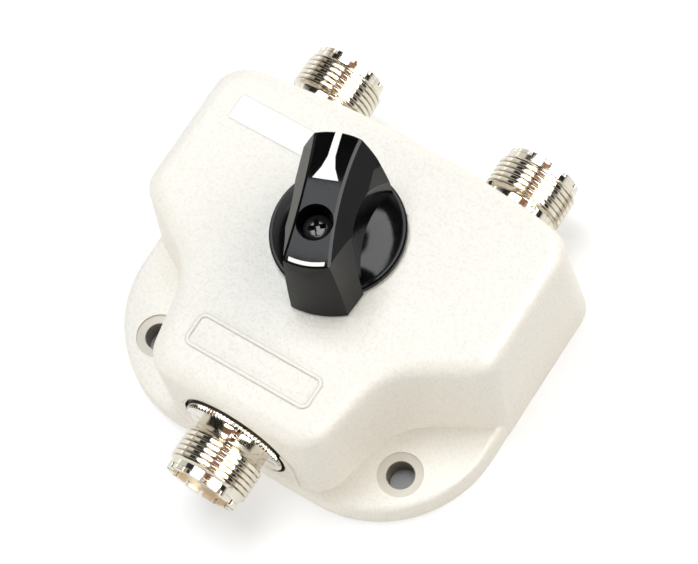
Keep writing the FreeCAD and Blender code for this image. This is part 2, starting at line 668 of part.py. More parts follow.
def make_detent_spring():
    """Compression spring between the ball and the roof of its pocket."""
    radius = DETENT_BALL_RADIUS - DETENT_SPRING_WIRE - 0.05
    reach = DETENT_BALL_RADIUS + DETENT_SPRING_WIRE + SPRING_GAP
    low = DETENT_BALL_Z + math.sqrt(reach ** 2 - radius ** 2)
    high = BODY_HEIGHT - DETENT_POCKET_ROOF - DETENT_SPRING_WIRE - SPRING_GAP
    pitch = (high - low) / DETENT_SPRING_TURNS
    helix = Part.makeHelix(pitch, pitch * DETENT_SPRING_TURNS, radius)
    half = DETENT_SPRING_WIRE
    wire_end = Part.makePolygon([Vector(radius + half, 0, 0), Vector(radius, 0, half),
                                 Vector(radius - half, 0, 0), Vector(radius, 0, -half),
                                 Vector(radius + half, 0, 0)])
    coil = Part.Wire([helix]).makePipeShell([wire_end], True, True)
    coil.translate(Vector(0, -DETENT_TRACK_RADIUS, low))
    return to_position_1(coil)


def make_rotor():
    """Insulating disc that carries the bridge, with a boss up to the detent plate."""
    disc = cylinder(ROTOR_RADIUS, ROTOR_BOTTOM, ROTOR_TOP)
    disc = disc.makeChamfer(0.4, edges_at(disc, ROTOR_TOP))
    boss = cylinder(ROTOR_BOSS_RADIUS, ROTOR_TOP, DETENT_BOTTOM)
    hub = cylinder(BRIDGE_RING_INNER - 0.1, BRIDGE_BOTTOM, ROTOR_BOTTOM)
    rotor = joined([disc, boss, hub])
    rotor = rotor.cut(d_bore(BRIDGE_BOTTOM - 1, DETENT_BOTTOM + 1))
    for y in RIVET_PLACES:
        rotor = rotor.cut(cylinder(RIVET_RADIUS, ROTOR_BOTTOM - 1, ROTOR_TOP + 1, 0, y))
    return to_position_1(rotor)


RIVET_PLACES = (-(BRIDGE_RING_OUTER + BRIDGE_RING_INNER) / 2, 9.2)


def make_rotor_bridge():
    """Contact strip: a ring round the shaft and an arm out to the output leaves."""
    half = BRIDGE_ARM_WIDTH / 2
    ring = cylinder(BRIDGE_RING_OUTER, BRIDGE_BOTTOM, ROTOR_BOTTOM)
    arm = box(-half, half, 0, BRIDGE_REACH - half, BRIDGE_BOTTOM, ROTOR_BOTTOM)
    end = cylinder(half, BRIDGE_BOTTOM, ROTOR_BOTTOM, 0, BRIDGE_REACH - half)
    bridge = joined([ring, arm, end])
    bridge = bridge.cut(cylinder(BRIDGE_RING_INNER, BRIDGE_BOTTOM - 1, ROTOR_BOTTOM + 1))
    for y in RIVET_PLACES:
        bridge = bridge.cut(cylinder(RIVET_RADIUS, BRIDGE_BOTTOM - 1, ROTOR_BOTTOM + 1, 0, y))
    return to_position_1(bridge)


def make_rotor_rivets():
    rivets = []
    for y in RIVET_PLACES:
        rivets.append(cylinder(RIVET_RADIUS - PRESS_GAP, BRIDGE_BOTTOM, ROTOR_TOP, 0, y))
    return to_position_1(Part.makeCompound(rivets))


# ---------------------------------------------------------------- knob
def knob_bar():
    """Bar with flanks that lean out to the foot, rounded ends and an arched top."""
    foot = KNOB_BASE
    top = KNOB_TOP + KNOB_CROWN + 2.0
    bar = bar_sides(foot, top).common(bar_shoulders(foot, top))
    bar = bar.common(bar_ends(foot, top)).common(arch_block(0.0))
    bar = bar.makeChamfer(BAR_BEVEL, long_edges(bar))
    bar = bar.makeFillet(BAR_END_ROUND, end_edges(bar))
    for side in (-1, 1):
        bar = bar.cut(cylinder(SCOOP_RADIUS, foot - 1, top + 1,
                               side * (SCOOP_HALF + SCOOP_RADIUS), SCOOP_U))
    return bar


def bar_sides(foot, top):
    """The two flanks, extended past both ends; the nose is along +Y."""
    share = (top - foot) / (KNOB_TOP - foot)
    nose = NOSE_TOP_RADIUS + 3.0
    tail = TAIL_FOOT_RADIUS + 3.0

    def at_tail(half, tail_half):
        return half + (tail_half - half) * (tail - BAR_TAPER_U) / (TAIL_FOOT_RADIUS - BAR_TAPER_U)

    def section(half, tail_half, z):
        right = [(half, nose), (half, -BAR_TAPER_U), (tail_half, -tail)]
        left = [(-x, y) for x, y in reversed(right)]
        points = [Vector(x, y, z) for x, y in right + left]
        return Part.makePolygon(points + [points[0]])

    foot_tail = at_tail(BAR_FOOT_HALF, BAR_TAIL_FOOT_HALF)
    side_tail = at_tail(BAR_SIDE_TOP_HALF, BAR_TAIL_TOP_HALF)
    upper_half = BAR_FOOT_HALF + (BAR_SIDE_TOP_HALF - BAR_FOOT_HALF) * share
    upper_tail = foot_tail + (side_tail - foot_tail) * share
    lower = section(BAR_FOOT_HALF, foot_tail, foot)
    upper = section(upper_half, upper_tail, top)
    return Part.makeLoft([lower, upper], True, True)


def bar_shoulders(foot, top):
    """The steeper planes that bring the flanks in to the narrow top."""
    low_half = BAR_TOP_HALF + (KNOB_TOP - foot) * BAR_SHOULDER_SLOPE
    high_half = BAR_TOP_HALF - (top - KNOB_TOP) * BAR_SHOULDER_SLOPE
    outline = [(-low_half, foot), (low_half, foot), (high_half, top), (-high_half, top)]
    points = [Vector(x, -30, z) for x, z in outline]
    return Part.Face(Part.makePolygon(points + [points[0]])).extrude(Vector(0, 60, 0))


def bar_ends(foot, top):
    """Room between the two end faces, each a cone about the shaft."""
    def cone(foot_radius, top_radius):
        share = (top - foot) / (KNOB_TOP - foot)
        reach = foot_radius + (top_radius - foot_radius) * share
        return Part.makeCone(foot_radius, reach, top - foot, Vector(0, 0, foot), Z_AXIS)

    nose = cone(NOSE_FOOT_RADIUS, NOSE_TOP_RADIUS).common(box(-30, 30, 0, 30, foot, top))
    tail = cone(TAIL_FOOT_RADIUS, TAIL_TOP_RADIUS).common(box(-30, 30, -30, 0, foot, top))
    return nose.fuse(tail)


def end_edges(bar):
    """Edges between the arched top and the two end faces."""
    found = []
    for edge in bar.Edges:
        bounds = edge.BoundBox
        across = bounds.XMax - bounds.XMin
        if bounds.ZMin > KNOB_TOP - 1.0 and across > BAR_TOP_HALF:
            found.append(edge)
    return found


def long_edges(bar):
    """Edges between the arched top and the flanks."""
    found = []
    for edge in bar.Edges:
        bounds = edge.BoundBox
        along = bounds.YMax - bounds.YMin
        across = bounds.XMax - bounds.XMin
        if bounds.ZMin > KNOB_TOP - 1.0 and along > across and along > 1.5:
            found.append(edge)
    return found


def arch_block(depth):
    """Everything below the arched top surface, less a depth."""
    nose_u = NOSE_TOP_RADIUS
    tail_u = TAIL_TOP_RADIUS
    chord = nose_u + tail_u
    radius = (chord ** 2 / 4 + KNOB_CROWN ** 2) / (2 * KNOB_CROWN)
    middle = (nose_u - tail_u) / 2
    centre = Vector(-20, middle, KNOB_TOP + KNOB_CROWN - radius)
    drum = Part.makeCylinder(radius - depth, 40, centre, Vector(1, 0, 0))
    drum.rotate(centre, Vector(1, 0, 0), 180)
    return drum.common(box(-20, 20, -30, 30, BODY_HEIGHT - 5.0, KNOB_TOP + KNOB_CROWN + 1))


def knob_round():
    """Skirt and domed body round the bar."""
    rim = KNOB_BASE + KNOB_SKIRT_THICKNESS
    skirt = cylinder(KNOB_SKIRT_RADIUS, KNOB_BASE, rim)
    skirt = skirt.makeChamfer(KNOB_SKIRT_BEVEL, edges_at(skirt, rim))
    edge_height = rim + 0.2
    rise = BODY_HEIGHT + KNOB_DOME_HEIGHT - edge_height
    ball_radius = (KNOB_BODY_RADIUS ** 2 + rise ** 2) / (2 * rise)
    centre = Vector(0, 0, BODY_HEIGHT + KNOB_DOME_HEIGHT - ball_radius)
    column = cylinder(KNOB_BODY_RADIUS, KNOB_BASE, BODY_HEIGHT + KNOB_DOME_HEIGHT + 1)
    dome = column.common(Part.makeSphere(ball_radius, centre))
    dome = dome.makeFillet(KNOB_EDGE_ROUND * 0.5, edges_at(dome, edge_height))
    return skirt.fuse(dome)


def hub_space(gap):
    """Space in the underside of the knob for the brass hub."""
    flange = cylinder(HUB_FLANGE_RADIUS + gap, KNOB_BASE - 1, KNOB_BASE + HUB_FLANGE_THICKNESS + gap)
    boss = cylinder(HUB_BOSS_RADIUS + gap, KNOB_BASE, BODY_HEIGHT + HUB_BOSS_HEIGHT + gap)
    shaft_end = cylinder(SHAFT_RADIUS + SHAFT_END_GAP, KNOB_BASE, SHAFT_TOP + SHAFT_END_GAP)
    return flange.fuse(boss).fuse(shaft_end)


def arrow_outline():
    """White arrow on the nose half of the bar, as (x, y) points."""
    middle_u = (ARROW_BASE_U + ARROW_WAIST_U) / 2
    tip_u = NOSE_TOP_RADIUS + 2.0
    right = [
        (ARROW_BASE_HALF, ARROW_BASE_U),
        (ARROW_MIDDLE_HALF, middle_u),
        (ARROW_WAIST_HALF, ARROW_WAIST_U),
        (ARROW_TIP_HALF, tip_u),
    ]
    return right + [(-x, y) for x, y in reversed(right)]


def inlay(column, bar):
    """Thin layer of the bar's top surface inside an upright column."""
    return column.common(bar).cut(arch_block(INLAY_DEPTH))


def arrow_column():
    return prism(arrow_outline(), KNOB_TOP - 3, KNOB_TOP + KNOB_CROWN + 3)


def line_column():
    """White line near the tail, concentric with the tail's end face."""
    half = LINE_WIDTH / 2
    low = KNOB_TOP - 3
    high = KNOB_TOP + KNOB_CROWN + 3
    ring = tube(LINE_RADIUS + half, LINE_RADIUS - half, low, high)
    return ring.common(box(-LINE_HALF, LINE_HALF, -LINE_RADIUS - 3, 0, low, high))


def knob_screw_bore(radius, z_low, z_high):
    return cylinder(radius, z_low, z_high, 0, -KNOB_SCREW_OFFSET)


def make_knob_pieces():
    bar = knob_bar()
    knob = bar.fuse(knob_round())
    arrow = inlay(arrow_column(), bar)
    line = inlay(line_column(), bar)
    recess_floor = KNOB_TOP - KNOB_RECESS_DEPTH
    knob = knob.cut(arrow).cut(line)
    knob = knob.cut(hub_space(PRESS_GAP))
    knob = knob.cut(knob_screw_bore(KNOB_RECESS_RADIUS, recess_floor, KNOB_TOP + 5))
    knob = knob.cut(knob_screw_bore(SCREW_RADIUS + SCREW_CLEARANCE, KNOB_BASE, recess_floor + 1))
    knob = knob.removeSplitter()
    return to_position_1(knob), to_position_1(arrow), to_position_1(line)


def make_knob_hub():
    """Brass hub that drives the knob: flatted bore and an off-centre thread."""
    flange = cylinder(HUB_FLANGE_RADIUS, KNOB_BASE + 0.1, KNOB_BASE + HUB_FLANGE_THICKNESS)
    boss = cylinder(HUB_BOSS_RADIUS, KNOB_BASE + 0.1, BODY_HEIGHT + HUB_BOSS_HEIGHT)
    hub = flange.fuse(boss)
    hub = hub.cut(d_bore(KNOB_BASE - 1, BODY_HEIGHT + HUB_BOSS_HEIGHT + 2))
    hub = hub.cut(cylinder(CLIP_RADIUS + 0.2, KNOB_BASE - 1, HUB_FLAT_BOTTOM))
    hub = hub.cut(knob_screw_bore(SCREW_RADIUS, KNOB_BASE - 1, BODY_HEIGHT + HUB_BOSS_HEIGHT + 1))
    return to_position_1(hub)


def make_knob_screw():
    """Pan head screw, without its drive, from the bar's recess into the hub."""
    seat = KNOB_TOP - KNOB_RECESS_DEPTH
    shank = knob_screw_bore(SCREW_RADIUS - PRESS_GAP, KNOB_BASE + 0.3, seat + 0.1)
    head = knob_screw_bore(KNOB_SCREW_HEAD_RADIUS, seat, seat + KNOB_SCREW_HEAD_HEIGHT)
    head = head.makeChamfer(0.7, edges_at(head, seat + KNOB_SCREW_HEAD_HEIGHT))
    return to_position_1(joined([shank, head]))


# ---------------------------------------------------------------- cover and label
def make_back_cover():
    outline = Part.Face(inner_outline(COVER_MARGIN + COVER_GAP, 0.0))
    cover = outline.extrude(Vector(0, 0, COVER_THICKNESS))
    for x, y in ALL_POSTS:
        cover = cover.cut(cylinder(SCREW_RADIUS + SCREW_CLEARANCE, -1, COVER_THICKNESS + 1, x, y))
        cover = cover.cut(countersink(x, y, SCREW_CLEARANCE / 2))
    return cover


def countersink(x, y, gap):
    return Part.makeCone(SCREW_HEAD_RADIUS + gap, SCREW_RADIUS - PRESS_GAP + gap,
                         SCREW_HEAD_DEPTH, Vector(x, y, 0), Z_AXIS)


def make_cover_screws():
    screws = []
    for x, y in ALL_POSTS:
        shank = cylinder(SCREW_RADIUS - PRESS_GAP, 0.2, SCREW_LENGTH, x, y)
        screws.append(joined([countersink(x, y, 0.0), shank]))
    return Part.makeCompound(screws)


def make_label():
    corners = both_sides([(LABEL_LENGTH / 2, LABEL_WIDTH / 2, 0.5),
                          (LABEL_LENGTH / 2, -LABEL_WIDTH / 2, 0.5)])
    face = Part.Face(rounded_wire(corners, BODY_HEIGHT))
    label = face.extrude(Vector(0, 0, LABEL_THICKNESS))
    label.translate(Vector(LABEL_X + LABEL_LENGTH / 2, LABEL_Y + LABEL_WIDTH / 2, 0))
    return label


# ---------------------------------------------------------------- export
def all_nodes():
    knob, arrow, line = make_knob_pieces()
    nodes = {
        "housing": make_housing(),
        "back_cover": make_back_cover(),
        "cover_screws": make_cover_screws(),
        "label_plate": make_label(),
        "common_leaf": make_common_leaf(),
        "port_1_leaf": make_output_leaf(-1),
        "port_2_leaf": make_output_leaf(1),
        "port_1_ground_finger": make_ground_finger(-1),
        "port_2_ground_finger": make_ground_finger(1),
        "shaft_bush": make_shaft_bush(),
        "wave_washer": make_wave_washer(),
        "detent_ball": make_detent_ball(),
        "detent_spring": make_detent_spring(),
        "shaft": make_shaft(),
        "shaft_ring": to_position_1(retaining_ring(SHAFT_RING_BOTTOM)),
        "detent_plate": make_detent_plate(),
        "rotor": make_rotor(),
        "rotor_bridge": make_rotor_bridge(),
        "rotor_rivets": make_rotor_rivets(),
        "rotor_ring": to_position_1(retaining_ring(BRIDGE_BOTTOM - CLIP_THICKNESS)),
        "knob": knob,
        "pointer_arrow": arrow,
        "tail_line": line,
        "knob_hub": make_knob_hub(),
        "knob_screw": make_knob_screw(),
    }
    for name, x, seat_y, faces_rear in CONNECTORS:
        nodes[name + "_shell"] = make_shell(x, seat_y, faces_rear)
        nodes[name + "_insulator"] = make_insulator(x, seat_y, faces_rear)
        nodes[name + "_contact"] = make_contact(x, seat_y, faces_rear)
    return nodes


os.makedirs("parts", exist_ok=True)
for node, shape in all_nodes().items():
    shape.exportStep("parts/" + node + ".step")
    print(node, "solids", len(shape.Solids), "valid", shape.isValid(), "volume", round(shape.Volume, 2))
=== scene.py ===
# %% [markdown]
# # A two-way coaxial antenna switch
#
# The switch is a cast metal box with three threaded coaxial sockets and one turning
# knob. Its solids were drawn in CAD, with real sizes and a real joint. This lesson puts
# the finish on them: paint, plating, plastic, threads, knurling and screw drives.
# The CAD solids come in first, and everything else is placed around them, in metres.

# %% Load the frame
import math

import bmesh
import bpy
from mathutils import Matrix, Vector


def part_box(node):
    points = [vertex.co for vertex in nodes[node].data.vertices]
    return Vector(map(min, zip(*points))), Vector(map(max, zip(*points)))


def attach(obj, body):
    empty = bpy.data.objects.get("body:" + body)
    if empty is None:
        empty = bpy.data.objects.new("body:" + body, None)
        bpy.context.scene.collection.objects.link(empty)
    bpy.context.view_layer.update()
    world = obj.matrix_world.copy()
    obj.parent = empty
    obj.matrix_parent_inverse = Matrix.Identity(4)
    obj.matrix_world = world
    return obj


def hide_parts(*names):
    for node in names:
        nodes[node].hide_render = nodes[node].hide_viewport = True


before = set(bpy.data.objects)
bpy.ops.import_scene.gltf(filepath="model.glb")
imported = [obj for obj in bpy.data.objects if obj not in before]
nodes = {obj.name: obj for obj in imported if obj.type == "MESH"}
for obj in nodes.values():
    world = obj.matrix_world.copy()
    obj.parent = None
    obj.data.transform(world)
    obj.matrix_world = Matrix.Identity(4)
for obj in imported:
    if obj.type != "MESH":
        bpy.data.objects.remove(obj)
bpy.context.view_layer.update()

MM = 0.001

# %% [markdown]
# ## The camera
#
# The switch is seen from the right and well above, with a long lens, so that the
# parallel edges of the box stay nearly parallel. The camera is also rolled, which makes
# the box stand on one corner in the view. A camera that looks at a target could be
# made with a constraint; writing its three axes out keeps the roll exact.

# %% Camera
CAMERA_AZIMUTH = math.radians(54.55)
CAMERA_ELEVATION = math.radians(66.19)
CAMERA_ROLL = math.radians(-23.19)
CAMERA_DISTANCE = 557.9 * MM
CAMERA_TARGET = Vector((0.87, -2.88, 12.0)) * MM
SENSOR_WIDTH = 36.0
FOCAL_LENGTH = 155.04
NEAREST_SEEN = 0.01
FARTHEST_SEEN = 20.0


def camera_axes():
    """Right, up and backward directions of the rolled camera."""
    flat = math.cos(CAMERA_ELEVATION)
    back = Vector((math.sin(CAMERA_AZIMUTH) * flat, -math.cos(CAMERA_AZIMUTH) * flat,
                   math.sin(CAMERA_ELEVATION)))
    right = Vector((0, 0, 1)).cross(back).normalized()
    up = back.cross(right)
    rolled_right = right * math.cos(CAMERA_ROLL) + up * math.sin(CAMERA_ROLL)
    rolled_up = up * math.cos(CAMERA_ROLL) - right * math.sin(CAMERA_ROLL)
    return rolled_right, rolled_up, back


def make_camera():
    data = bpy.data.cameras.new("camera")
    data.sensor_width = SENSOR_WIDTH
    data.lens = FOCAL_LENGTH
    data.clip_start = NEAREST_SEEN
    data.clip_end = FARTHEST_SEEN
    camera = bpy.data.objects.new("camera", data)
    bpy.context.scene.collection.objects.link(camera)
    right, up, back = camera_axes()
    turn = Matrix((right, up, back)).transposed().to_4x4()
    camera.matrix_world = Matrix.Translation(CAMERA_TARGET + back * CAMERA_DISTANCE) @ turn
    bpy.context.scene.camera = camera
    return camera


camera = make_camera()
print("camera at mm:", [round(v / MM, 1) for v in camera.matrix_world.translation])

# %% [markdown]
# ## How the materials are made
#
# Every finish is a small node tree. It reads the point's own place on the object, in
# metres, so a grain of 0.5 mm is 0.5 mm on every piece and moves with it. Two noises do
# most of the work: a coarse one for slow changes of colour, and a fine one for the
# bump. Numbers that are the same all over go straight on the shader's sockets. The floor
# and the light are node trees too, so the steps they share stand outside the class.

# %% Steps that every node tree shares


def feed(tree, socket, value):
    """Link a socket to another socket, or set it to a plain value."""
    if hasattr(value, "node"):
        tree.links.new(value, socket)
    else:
        socket.default_value = value


def math_node(tree, operation, *values):
    """Result of one operation on sockets and plain numbers."""
    made = tree.nodes.new("ShaderNodeMath")
    made.operation = operation
    for socket, value in zip(made.inputs, values):
        feed(tree, socket, value)
    return made.outputs["Value"]


def range_node(tree, value, low, high, to_low, to_high, interpolation="LINEAR"):
    """Stretch the range low to high of a value over to_low to to_high."""
    ranged = tree.nodes.new("ShaderNodeMapRange")
    ranged.interpolation_type = interpolation
    ranged.inputs["From Min"].default_value = low
    ranged.inputs["From Max"].default_value = high
    ranged.inputs["To Min"].default_value = to_low
    ranged.inputs["To Max"].default_value = to_high
    tree.links.new(value, ranged.inputs["Value"])
    return ranged.outputs["Result"]


def mix_node(tree, share, first, second):
    """Colour between first and second; either may be a colour or a socket."""
    mix = tree.nodes.new("ShaderNodeMix")
    mix.data_type = "RGBA"
    tree.links.new(share, [s for s in mix.inputs if s.type == "VALUE"][0])
    for socket, colour in zip([s for s in mix.inputs if s.type == "RGBA"], (first, second)):
        feed(tree, socket, colour if hasattr(colour, "node") else (*colour, 1.0))
    return [s for s in mix.outputs if s.type == "RGBA"][0]


print("shared node steps ready")

# %% A finish: one shader and its ready-made steps
HIGH_RANGE = (0.35, 0.75)   # upper part of a noise: most of the first of two colours stays
EVEN_RANGE = (0.3, 0.7)     # middle part of a noise: about half of each


class Finish:
    """A material with a Principled shader and a few ready-made steps."""

    def __init__(self, name, roughness, metallic=0.0, specular=0.5):
        self.material = bpy.data.materials.new(name)
        self.material.use_nodes = True
        self.tree = self.material.node_tree
        self.tree.nodes.clear()
        self.shader = self.node("ShaderNodeBsdfPrincipled")
        self.shader.inputs["Roughness"].default_value = roughness
        self.shader.inputs["Metallic"].default_value = metallic
        self.shader.inputs["Specular IOR Level"].default_value = specular
        output = self.node("ShaderNodeOutputMaterial")
        self.link(self.shader.outputs["BSDF"], output.inputs["Surface"])
        self.place = self.node("ShaderNodeTexCoord").outputs["Object"]

    def node(self, kind):
        return self.tree.nodes.new(kind)

    def link(self, source, target):
        self.tree.links.new(source, target)

    def axes(self):
        """X, Y and Z of the point, in metres, as three sockets."""
        split = self.node("ShaderNodeSeparateXYZ")
        self.link(self.place, split.inputs["Vector"])
        return split.outputs["X"], split.outputs["Y"], split.outputs["Z"]

    def noise(self, size_mm, detail=2.0, stretch=None, distortion=0.0):
        """Noise whose features are about size_mm across, from 0 to 1."""
        place = self.place
        if stretch is not None:
            scale = self.node("ShaderNodeMapping")
            scale.inputs["Scale"].default_value = stretch
            self.link(place, scale.inputs["Vector"])
            place = scale.outputs["Vector"]
        noise = self.node("ShaderNodeTexNoise")
        noise.inputs["Scale"].default_value = 1.0 / (size_mm * MM)
        noise.inputs["Detail"].default_value = detail
        noise.inputs["Distortion"].default_value = distortion
        self.link(place, noise.inputs["Vector"])
        return noise.outputs["Fac"]

    def spread(self, value, low, high, to_low=0.0, to_high=1.0):
        return range_node(self.tree, value, low, high, to_low, to_high)

    def math(self, operation, *values):
        return math_node(self.tree, operation, *values)

    def distance(self, a, b):
        """Length of a step whose two parts, at a right angle, are a and b."""
        squares = [self.math("MULTIPLY", part, part) for part in (a, b)]
        return self.math("SQRT", self.math("ADD", *squares))

    def blend(self, share, first, second):
        return mix_node(self.tree, share, first, second)

    def colour(self, socket):
        self.link(socket, self.shader.inputs["Base Color"])

    def roughness(self, socket):
        self.link(socket, self.shader.inputs["Roughness"])

    def bump(self, layers):
        """Stack (height socket, depth in mm) layers into the shader's normal."""
        normal = None
        for height, depth_mm in layers:
            bump = self.node("ShaderNodeBump")
            bump.inputs["Distance"].default_value = depth_mm * MM
            self.link(height, bump.inputs["Height"])
            if normal is not None:
                self.link(normal, bump.inputs["Normal"])
            normal = bump.outputs["Normal"]
        self.link(normal, self.shader.inputs["Normal"])


def paint_node(name, finish):
    """Put a finish on a CAD node through its material slots."""
    slots = nodes[name].data.materials
    if len(slots) == 0:
        slots.append(finish.material)
    for i in range(len(slots)):
        slots[i] = finish.material


print("material helpers ready")

# %% [markdown]
# ## The paint of the housing
#
# The box is cast, then sprayed with a thick off-white paint that dries to a fine pebbled
# skin. The pebbles are about half a millimetre across and a tenth deep, too small for
# geometry, so they are bump, and their valleys are painted a little darker as shade. The
# paint is a little glossier where the pebbles are worn flat, and a few specks of dust are
# set in it. The round faces under the mounting screws are cut smooth afterwards, so they
# look slightly greyer. A thin line of dust and painted shade follows both feet of the
# raised frame, and the walls of the mounting holes and the gap round each socket's flange
# are painted dark as shade. Each such place is a mask, worked out from the point's
# distance to a hole, a socket's axis or the frame; painting by hand could do it too, but
# would need a picture.

# %% Places on the housing, in millimetres
EAR_HOLE = (27.4, -28.2)
EAR_TOP = 4.7
SOCKET_HEIGHT = 14.4
SOCKETS = {                          # across, seat, and the way the socket points
    "common": (0.0, -38.4, -1),
    "port_1": (-21.6, 20.8, 1),
    "port_2": (21.6, 20.8, 1),
}
ROOF_FLOOR = 28.0
FRAME_HALF = (13.5, 3.4)
FRAME_CENTRE_Y = -28.3
FRAME_LINE = 0.7
FRAME_CORNER = 1.6
SHADE_AND_DUST_AT_FRAME_EDGE = (0.05, 0.28)
SHADE_AND_DUST_AT_FRAME_SHARE = 0.60


def near_hole(finish, radius_mm):
    """1 closer to the axis of a mounting hole than a radius, below the ear's top."""
    x, y, z = finish.axes()
    across = finish.math("SUBTRACT", finish.math("ABSOLUTE", x), EAR_HOLE[0] * MM)
    along = finish.math("SUBTRACT", y, EAR_HOLE[1] * MM)
    inside = finish.math("LESS_THAN", finish.distance(across, along), radius_mm * MM)
    below = finish.math("LESS_THAN", z, EAR_TOP * MM)
    return finish.math("MULTIPLY", inside, below)


def near_socket_axis(finish, radius_mm, reach_mm):
    """1 closer to the axis of a socket than a radius, and near its seat."""
    x, y, z = finish.axes()
    height = finish.math("SUBTRACT", z, SOCKET_HEIGHT * MM)
    masks = []
    for socket in ("common", "port_2"):          # port_1 folds onto port_2
        across_mm, seat_mm, _ = SOCKETS[socket]
        across = finish.math("SUBTRACT", finish.math("ABSOLUTE", x), across_mm * MM)
        inside = finish.math("LESS_THAN", finish.distance(across, height), radius_mm * MM)
        depth = finish.math("ABSOLUTE", finish.math("SUBTRACT", y, seat_mm * MM))
        near = finish.math("LESS_THAN", depth, reach_mm * MM)
        masks.append(finish.math("MULTIPLY", inside, near))
    return finish.math("MAXIMUM", *masks)


def dusty_shaded_frame_feet(finish):
    """Up to 1 along both feet of the raised frame, where dust collects and shade is painted."""
    x, y, z = finish.axes()
    along = finish.math("SUBTRACT", y, FRAME_CENTRE_Y * MM)
    sides = []
    for value, half in zip((x, along), FRAME_HALF):
        folded = finish.math("ABSOLUTE", value)
        sides.append(finish.math("SUBTRACT", folded, (half - FRAME_CORNER) * MM))
    outside = finish.distance(*[finish.math("MAXIMUM", side, 0.0) for side in sides])
    inside = finish.math("MINIMUM", finish.math("MAXIMUM", *sides), 0.0)
    distance = finish.math("SUBTRACT", finish.math("ADD", outside, inside), FRAME_CORNER * MM)
    low, high = (edge * MM for edge in SHADE_AND_DUST_AT_FRAME_EDGE)
    feet = []
    for foot in (0.0, FRAME_LINE):
        gap = finish.math("ABSOLUTE", finish.math("ADD", distance, foot * MM))
        feet.append(finish.spread(gap, low, high, SHADE_AND_DUST_AT_FRAME_SHARE, 0.0))
    on_roof = finish.math("GREATER_THAN", z, ROOF_FLOOR * MM)
    return finish.math("MULTIPLY", finish.math("MAXIMUM", *feet), on_roof)


print("masks ready: mounting holes, socket axes, raised frame")

# %% Housing paint
PAINT = (0.890, 0.858, 0.798)
PAINT_WARM = (0.850, 0.805, 0.720)
# painted shade: the valleys of the pebble bump are drawn darker
PAINT_VALLEY_SHADE = (0.770, 0.732, 0.665)
PAINT_SPECK = (0.30, 0.27, 0.23)
# partly dust, partly painted shade at the feet of the raised frame
SHADE_AND_DUST_AT_FRAME = (0.560, 0.535, 0.480)
SPOT_FACE_GREY = (0.665, 0.620, 0.545)
# painted shade: the walls of the mounting holes are drawn dark
HOLE_WALL_PAINTED_SHADE = (0.190, 0.172, 0.140)
# painted shade: the recess round each socket's flange is drawn nearly black
GAP_RING_PAINTED_SHADE = (0.060, 0.054, 0.047)
SPOT_FACE_RADIUS = 4.45
HOLE_WALL_RADIUS = 2.75
GAP_RING_RADIUS = 10.93
GAP_RING_REACH = 3.5
PAINT_SHADE_MM = 26.0
PEBBLE_MM = 0.56
PEBBLE_DEPTH_MM = 0.140
GRAIN_MM = 0.22
GRAIN_DEPTH_MM = 0.006
CUT_FACE_DEPTH_MM = 0.040
SPECK_CELL_MM = 8.3
SPECK_DOT = (0.02, 0.05)
SPECK_SHARE = 0.08


def dust_specks(finish):
    """Sparse specks: a small dot in a few of the cells of a Voronoi pattern."""
    cells = finish.node("ShaderNodeTexVoronoi")
    cells.inputs["Scale"].default_value = 1.0 / (SPECK_CELL_MM * MM)
    finish.link(finish.place, cells.inputs["Vector"])
    dot = finish.spread(cells.outputs["Distance"], *SPECK_DOT, 1.0, 0.0)
    split = finish.node("ShaderNodeSeparateColor")
    finish.link(cells.outputs["Color"], split.inputs["Color"])
    chosen = finish.math("LESS_THAN", split.outputs["Red"], SPECK_SHARE)
    return finish.math("MULTIPLY", dot, chosen)


def make_housing_paint():
    finish = Finish("housing_paint", 0.42, specular=0.45)
    slow = finish.noise(PAINT_SHADE_MM, detail=3.0)
    pebble = finish.noise(PEBBLE_MM, detail=2.5)
    grain = finish.noise(GRAIN_MM, detail=1.0)
    cut_face = near_hole(finish, SPOT_FACE_RADIUS)
    colour = finish.blend(finish.spread(slow, *HIGH_RANGE, 0.0, 0.35), PAINT, PAINT_WARM)
    for share, tint in (
            # painted shade in the pebble valleys
            (finish.spread(pebble, 0.34, 0.52, 0.46, 0.0), PAINT_VALLEY_SHADE),
            (dust_specks(finish), PAINT_SPECK),
            # dust and painted shade along the feet of the raised frame
            (dusty_shaded_frame_feet(finish), SHADE_AND_DUST_AT_FRAME),
            (cut_face, SPOT_FACE_GREY),
            # painted shade on the walls of the mounting holes
            (near_hole(finish, HOLE_WALL_RADIUS), HOLE_WALL_PAINTED_SHADE),
            # painted shade in the gap round each socket's flange
            (near_socket_axis(finish, GAP_RING_RADIUS, GAP_RING_REACH), GAP_RING_PAINTED_SHADE)):
        colour = finish.blend(share, colour, tint)
    finish.colour(colour)
    finish.roughness(finish.spread(pebble, 0.35, 0.65, 0.50, 0.36))
    sprayed = finish.math("SUBTRACT", 1.0, cut_face)
    finish.bump([(finish.math("MULTIPLY", pebble, sprayed), PEBBLE_DEPTH_MM),
                 (grain, GRAIN_DEPTH_MM),
                 (finish.math("MULTIPLY", grain, cut_face), CUT_FACE_DEPTH_MM)])
    return finish


paint_node("housing", make_housing_paint())
print("painted the housing")

# %% Cover paint
COVER_SHADE_MM = 18.0
COVER_GRAIN_MM = 0.35
COVER_GRAIN_DEPTH_MM = 0.012


def make_cover_paint():
    finish = Finish("cover_paint", 0.5, specular=0.4)
    slow = finish.noise(COVER_SHADE_MM, detail=4.0)
    fine = finish.noise(COVER_GRAIN_MM, detail=2.0)
    finish.colour(finish.blend(finish.spread(slow, *EVEN_RANGE, 0.0, 0.5), PAINT, PAINT_WARM))
    finish.roughness(finish.spread(fine, *EVEN_RANGE, 0.42, 0.58))
    finish.bump([(fine, COVER_GRAIN_DEPTH_MM)])
    return finish


paint_node("back_cover", make_cover_paint())
print("painted the cover")

